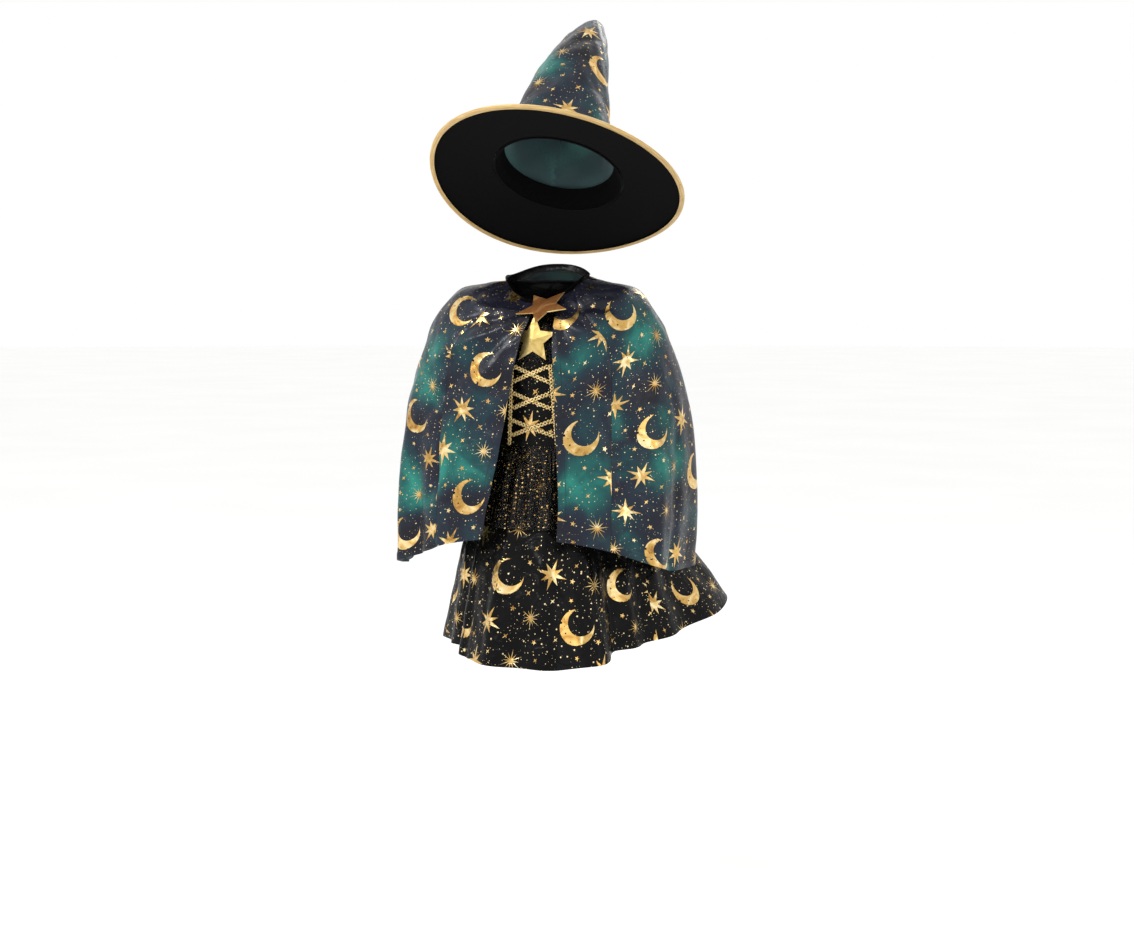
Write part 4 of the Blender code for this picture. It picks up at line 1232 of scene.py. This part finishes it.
def build_cape():
    gap = 0.0003
    edge_hem, low_hem = Hem("start", CAPE_HEM, 0.0011), Hem("low", CAPE_HEM, 0.0011)
    lines = []
    panels = []
    for name, side, front_at, front_cloud, side_at, side_cloud in (
            ("right", -1, (0.02, 0.09), (-0.01, 0.22, 0.14), (0.10, 0.02), (0.04, 0.34, 0.10)),
            ("left", 1, (0.15, 0.05), (0.0, 0.252, 0.16), (0.07, 0.12), (-0.005, 0.28, 0.10))):
        seam = lambda down, side=side: -side * front_seam_turn(down, side)
        if side > 0:
            front = between_seams(-1.0, lambda down: seam(down) - gap)
            flank = between_seams(lambda down: seam(down) + gap, -BACK_SEAM_TURN - gap)
            edge_side, seam_side = "start", "end"
        else:
            front = between_seams(lambda down: seam(down) + gap, 1.0)
            flank = between_seams(BACK_SEAM_TURN + gap, lambda down: seam(down) - gap)
            edge_side, seam_side = "end", "start"
        front_hems = [edge_hem._replace(side=edge_side), low_hem, Hem(seam_side, 0.002, -0.0009)]
        flank_hems = [low_hem, Hem(edge_side, 0.002, -0.0009)]
        laid = lay_cloth(f"cape_front_{name}", front[0], (0, 1), (0, 1), 0.004, GALAXY, lift=front[1],
                         hems=front_hems, offset=front_at, cloud_spot=front_cloud)
        lines.append(stitch_line(laid, *along_side(laid, edge_side, CAPE_HEM - 0.0015)))
        lines.append(stitch_line(laid, *along_side(laid, "low", CAPE_HEM - 0.0015)))
        panels.append((laid, f"cape_front_{name}"))
        laid = lay_cloth(f"cape_side_{name}", flank[0], (0, 1), (0, 1), 0.004, GALAXY, lift=flank[1],
                         hems=flank_hems, offset=side_at, cloud_spot=side_cloud)
        lines.append(stitch_line(laid, *along_side(laid, "low", CAPE_HEM - 0.0015)))
        panels.append((laid, f"cape_side_{name}"))
    middle = between_seams(-BACK_SEAM_TURN + gap, BACK_SEAM_TURN - gap)
    laid = lay_cloth("cape_back", middle[0], (0, 1), (0, 1), 0.004, GALAXY, lift=middle[1], hems=[low_hem],
                     offset=(0.03, 0.05))
    lines.append(stitch_line(laid, *along_side(laid, "low", CAPE_HEM - 0.0015)))
    panels.append((laid, "cape_back"))
    topstitch = sew("cape_topstitch", lines, DARK_THREAD)

    band = lay_cloth("cape_neckband", neckband_form, (-0.99, 0.99), (0, 0.96), 0.002, PLAIN_SATIN, thickness=0.0012)
    settle(band.piece, ["cape_neckband"])
    for laid, node in panels:
        pieces = [print_foil(f"{node}_print", laid, PRINT_FOIL)]
        if node == "cape_back":
            pieces += [band.piece, topstitch]
        declare(laid, [node], with_pieces=pieces)


def braid_on_bodice(name, start, end, over, nodes):
    """Two cords that wind about each other along a line on the bodice, each point an x and a height."""
    start, end = np.array(start), np.array(end)
    length = np.linalg.norm(end - start)
    steps = int(length / 0.0006)
    share = np.linspace(0, 1, steps + 1)
    run = (end - start) / length
    side = np.array([-run[1], run[0]])
    hump = ease(0.02, 0.3, share) * ease(0.02, 0.3, 1 - share)
    cords = []
    for phase in (0.0, pi):
        turn = share * length / BRAID_LOOP * 2 * pi + phase
        flat = start + (end - start) * share[:, None] + side * (BRAID_WIDTH / 2 - BRAID_CORD) * np.sin(turn)[:, None]
        x, height = flat[:, 0], flat[:, 1]
        angle = np.arcsin(x / read_column(BODICE, "width", height)) / (pi / 2)
        base = bodice_ring(angle, height, back=False)
        near = bodice_ring(angle * 1.001 + 0.001, height, back=False)
        outward = np.cross(near - base, np.array([0.0, 0.0, 1.0]))
        outward /= np.linalg.norm(outward, axis=1, keepdims=True)
        lift = SEAM_GAP + BRAID_CORD + over * hump + 0.0005 * (1 + np.cos(2 * turn + phase))
        curve = bpy.data.curves.new(name, "CURVE")
        curve.dimensions = "3D"
        curve.bevel_depth = BRAID_CORD
        curve.bevel_resolution = 1
        curve.use_fill_caps = True
        line = curve.splines.new("POLY")
        line.points.add(steps)
        spots = base + outward * lift[:, None]
        line.points.foreach_set("co", np.concatenate([spots, np.ones((steps + 1, 1))], axis=1).ravel())
        cord = bpy.data.objects.new(name, curve)
        bpy.context.scene.collection.objects.link(cord)
        cords.append(cord)
    bpy.ops.object.select_all(action="DESELECT")
    for cord in cords:
        cord.select_set(True)
    bpy.context.view_layer.objects.active = cords[0]
    bpy.ops.object.convert(target="MESH")
    bpy.ops.object.join()
    piece = bpy.context.object
    piece.name = piece.data.name = name
    piece.data.materials.clear()
    piece.data.materials.append(BRAID)
    bpy.ops.object.shade_smooth()
    return settle(piece, nodes)


def braid_x(height):
    share = (height - BRAID_TOP_HEIGHT) / (WAIST_HEIGHT - BRAID_TOP_HEIGHT)
    return BRAID_TOP_X + (BRAID_WAIST_X - BRAID_TOP_X) * share


def build_braids():
    bottom = WAIST_HEIGHT + 0.0012
    for name, side in (("right", -1), ("left", 1)):
        node = f"braid_{name}"
        braid_on_bodice(node, (side * BRAID_WAIST_X, bottom), (side * BRAID_TOP_X, BRAID_TOP_HEIGHT), 0.0, [node])
    inset = BRAID_WIDTH * 0.55
    for number, middle in enumerate(CROSSING_HEIGHTS, start=1):
        low, high = middle - CROSSING_RISE / 2 + 0.003, middle + CROSSING_RISE / 2 - 0.003
        low_x, high_x = braid_x(low) - inset, braid_x(high) - inset
        node = f"lace_{number}_falling"
        braid_on_bodice(node, (-high_x, high), (low_x, low), 0.0, [node])
        node = f"lace_{number}_rising"
        braid_on_bodice(node, (-low_x, low), (high_x, high), 0.0022, [node])


def build_star(name, seat, finish):
    """A foil star, cut from stiff foiled board: five facets that meet in crests, and sides of pale foil that are partly
    its piping and partly a painted highlight on its lit edge.
    """
    bpy.ops.object.select_all(action="DESELECT")
    bpy.ops.mesh.primitive_circle_add(vertices=2 * STAR_POINTS, radius=seat.radius, fill_type="NGON")
    star = bpy.context.object
    star.name = star.data.name = name
    for vertex in star.data.vertices:
        reach = seat.radius * (1 if vertex.index % 2 == 0 else STAR_INNER_SHARE)
        angle = radians(seat.tip) + vertex.index * pi / STAR_POINTS
        vertex.co = (reach * cos(angle), reach * sin(angle), 0)
    bpy.ops.object.mode_set(mode="EDIT")
    bpy.ops.mesh.select_all(action="SELECT")
    bpy.ops.mesh.extrude_region_move(TRANSFORM_OT_translate={"value": (0, 0, STAR_THICKNESS)})
    bpy.ops.mesh.poke()
    bpy.ops.object.mode_set(mode="OBJECT")
    middle = min(star.data.vertices, key=lambda v: v.co.x ** 2 + v.co.y ** 2 - (v.co.z > 0.0002))
    middle.co.z = STAR_CREST
    bevel = star.modifiers.new("soft edges", "BEVEL")
    bevel.width = 0.00022
    bevel.segments = 2
    bevel.limit_method = "ANGLE"
    bevel.angle_limit = radians(40)
    select_only(star)
    bpy.ops.object.modifier_apply(modifier="soft edges")
    seat_at = Matrix.Translation(seat.centre) @ Matrix.Rotation(radians(seat.turn), 4, "Z")
    seat_at = seat_at @ Matrix.Rotation(radians(90 - seat.lean_back), 4, "X")
    star.data.materials.append(finish)
    star.data.materials.append(PALE_FOIL)
    # The sides take the pale foil: partly the piping's colour, partly a painted highlight on the lit edge of the board.
    for face in star.data.polygons:
        face.material_index = 1 if abs(face.normal.z) < 0.8 else 0
    star.data.transform(seat_at)
    bpy.ops.object.shade_smooth_by_angle(angle=radians(8))
    settle(star, [name])


def build_hat():
    rise = 0.5 * SEAM_GAP + FELT
    under = lay_cloth("hat_brim_under", lambda turn, down: brim_form(-SEAM_GAP)(1 - turn, down), (0, 1), (-0.03, 1), 0.005,
                      UNDER_FELT, thickness=FELT, closed=True)
    declare(under, ["hat_brim_under"])
    top = lay_cloth("hat_brim_top", brim_form(rise), (0, 1), (0, 1), 0.004, GALAXY[:1], thickness=0.0008, closed=True,
                    offset=(0.05, 0.02))
    declare(top, ["hat_brim_top"],
            with_pieces=[print_foil("hat_brim_print", top, PRINT_FOIL)])
    piping = lambda turn, down: 0.00022 * np.cos(down * 2 * pi * 9)
    binding = lay_cloth("hat_binding", binding_form, (0, 1), (0, 1), 0.0011, GOLD_SATIN, lift=piping,
                        thickness=0.0005, closed=True)
    declare(binding, ["hat_binding"])
    crown = lay_cloth("hat_crown", crown_form(), (0, 1), (0, 1), 0.004, GALAXY, lift=crown_lift, closed=True,
                      offset=(0.100, 0.118), cloud_spot=(-0.068, 0.136, 0.001))
    declare(crown, ["hat_crown"],
            with_pieces=[print_foil("hat_crown_print", crown, PRINT_FOIL, clear_top=0.048)])
    tape = crown_form(shrink=0.0036, reach=HEADBAND_REACH, drop=HEADBAND_DROP)
    band = lay_cloth("hat_headband", tape, (0, 1), (0, 1), 0.003, RIBBED_TAPE, thickness=0.0022, closed=True)
    declare(band, ["hat_headband"])


build_dress()
build_skirt()
build_cape()
build_braids()
build_star("cape_clasp_star", CLASP_STAR, COPPER_FOIL)
build_star("bodice_star", BODICE_STAR, PALE_FOIL)
build_hat()


# Floor, light and camera

FLOOR_HEIGHT = -0.87

bpy.ops.object.select_all(action="DESELECT")
bpy.ops.mesh.primitive_circle_add(vertices=96, radius=30, fill_type="NGON")
floor = bpy.context.object
floor.name = "floor"
floor.data.transform(Matrix.Translation((0, 0, FLOOR_HEIGHT)))
floor.data.materials.append(painted_floor())

world = bpy.data.worlds.new("studio")
bpy.context.scene.world = world
world.use_nodes = True
world.node_tree.nodes["Background"].inputs["Color"].default_value = (1.0, 1.0, 1.0, 1)
world.node_tree.nodes["Background"].inputs["Strength"].default_value = 1.0

Softbox = namedtuple("Softbox", "name place size power")
for box in (Softbox("key", (-1.7, -2.2, 2.0), 0.8, 66), Softbox("fill", (2.6, -1.6, 0.6), 1.2, 7),
            Softbox("back", (0.6, 2.6, 1.6), 1.2, 16)):
    lamp = bpy.data.lights.new(box.name, "AREA")
    lamp.size = box.size
    lamp.energy = box.power
    holder = bpy.data.objects.new(box.name, lamp)
    holder.location = box.place
    holder.rotation_euler = (Vector((0, 0, -0.1)) - Vector(box.place)).to_track_quat("-Z", "Y").to_euler()
    bpy.context.scene.collection.objects.link(holder)

eye = bpy.data.cameras.new("camera")
eye.sensor_width = 36
eye.lens = 67.1
camera = bpy.data.objects.new("camera", eye)
camera.location = (0.8025, -2.8908, 0.0)
camera.rotation_euler = (radians(90 - 4.7), 0, radians(15))
bpy.context.scene.collection.objects.link(camera)
bpy.context.scene.camera = camera
bpy.context.scene.view_settings.view_transform = "Standard"
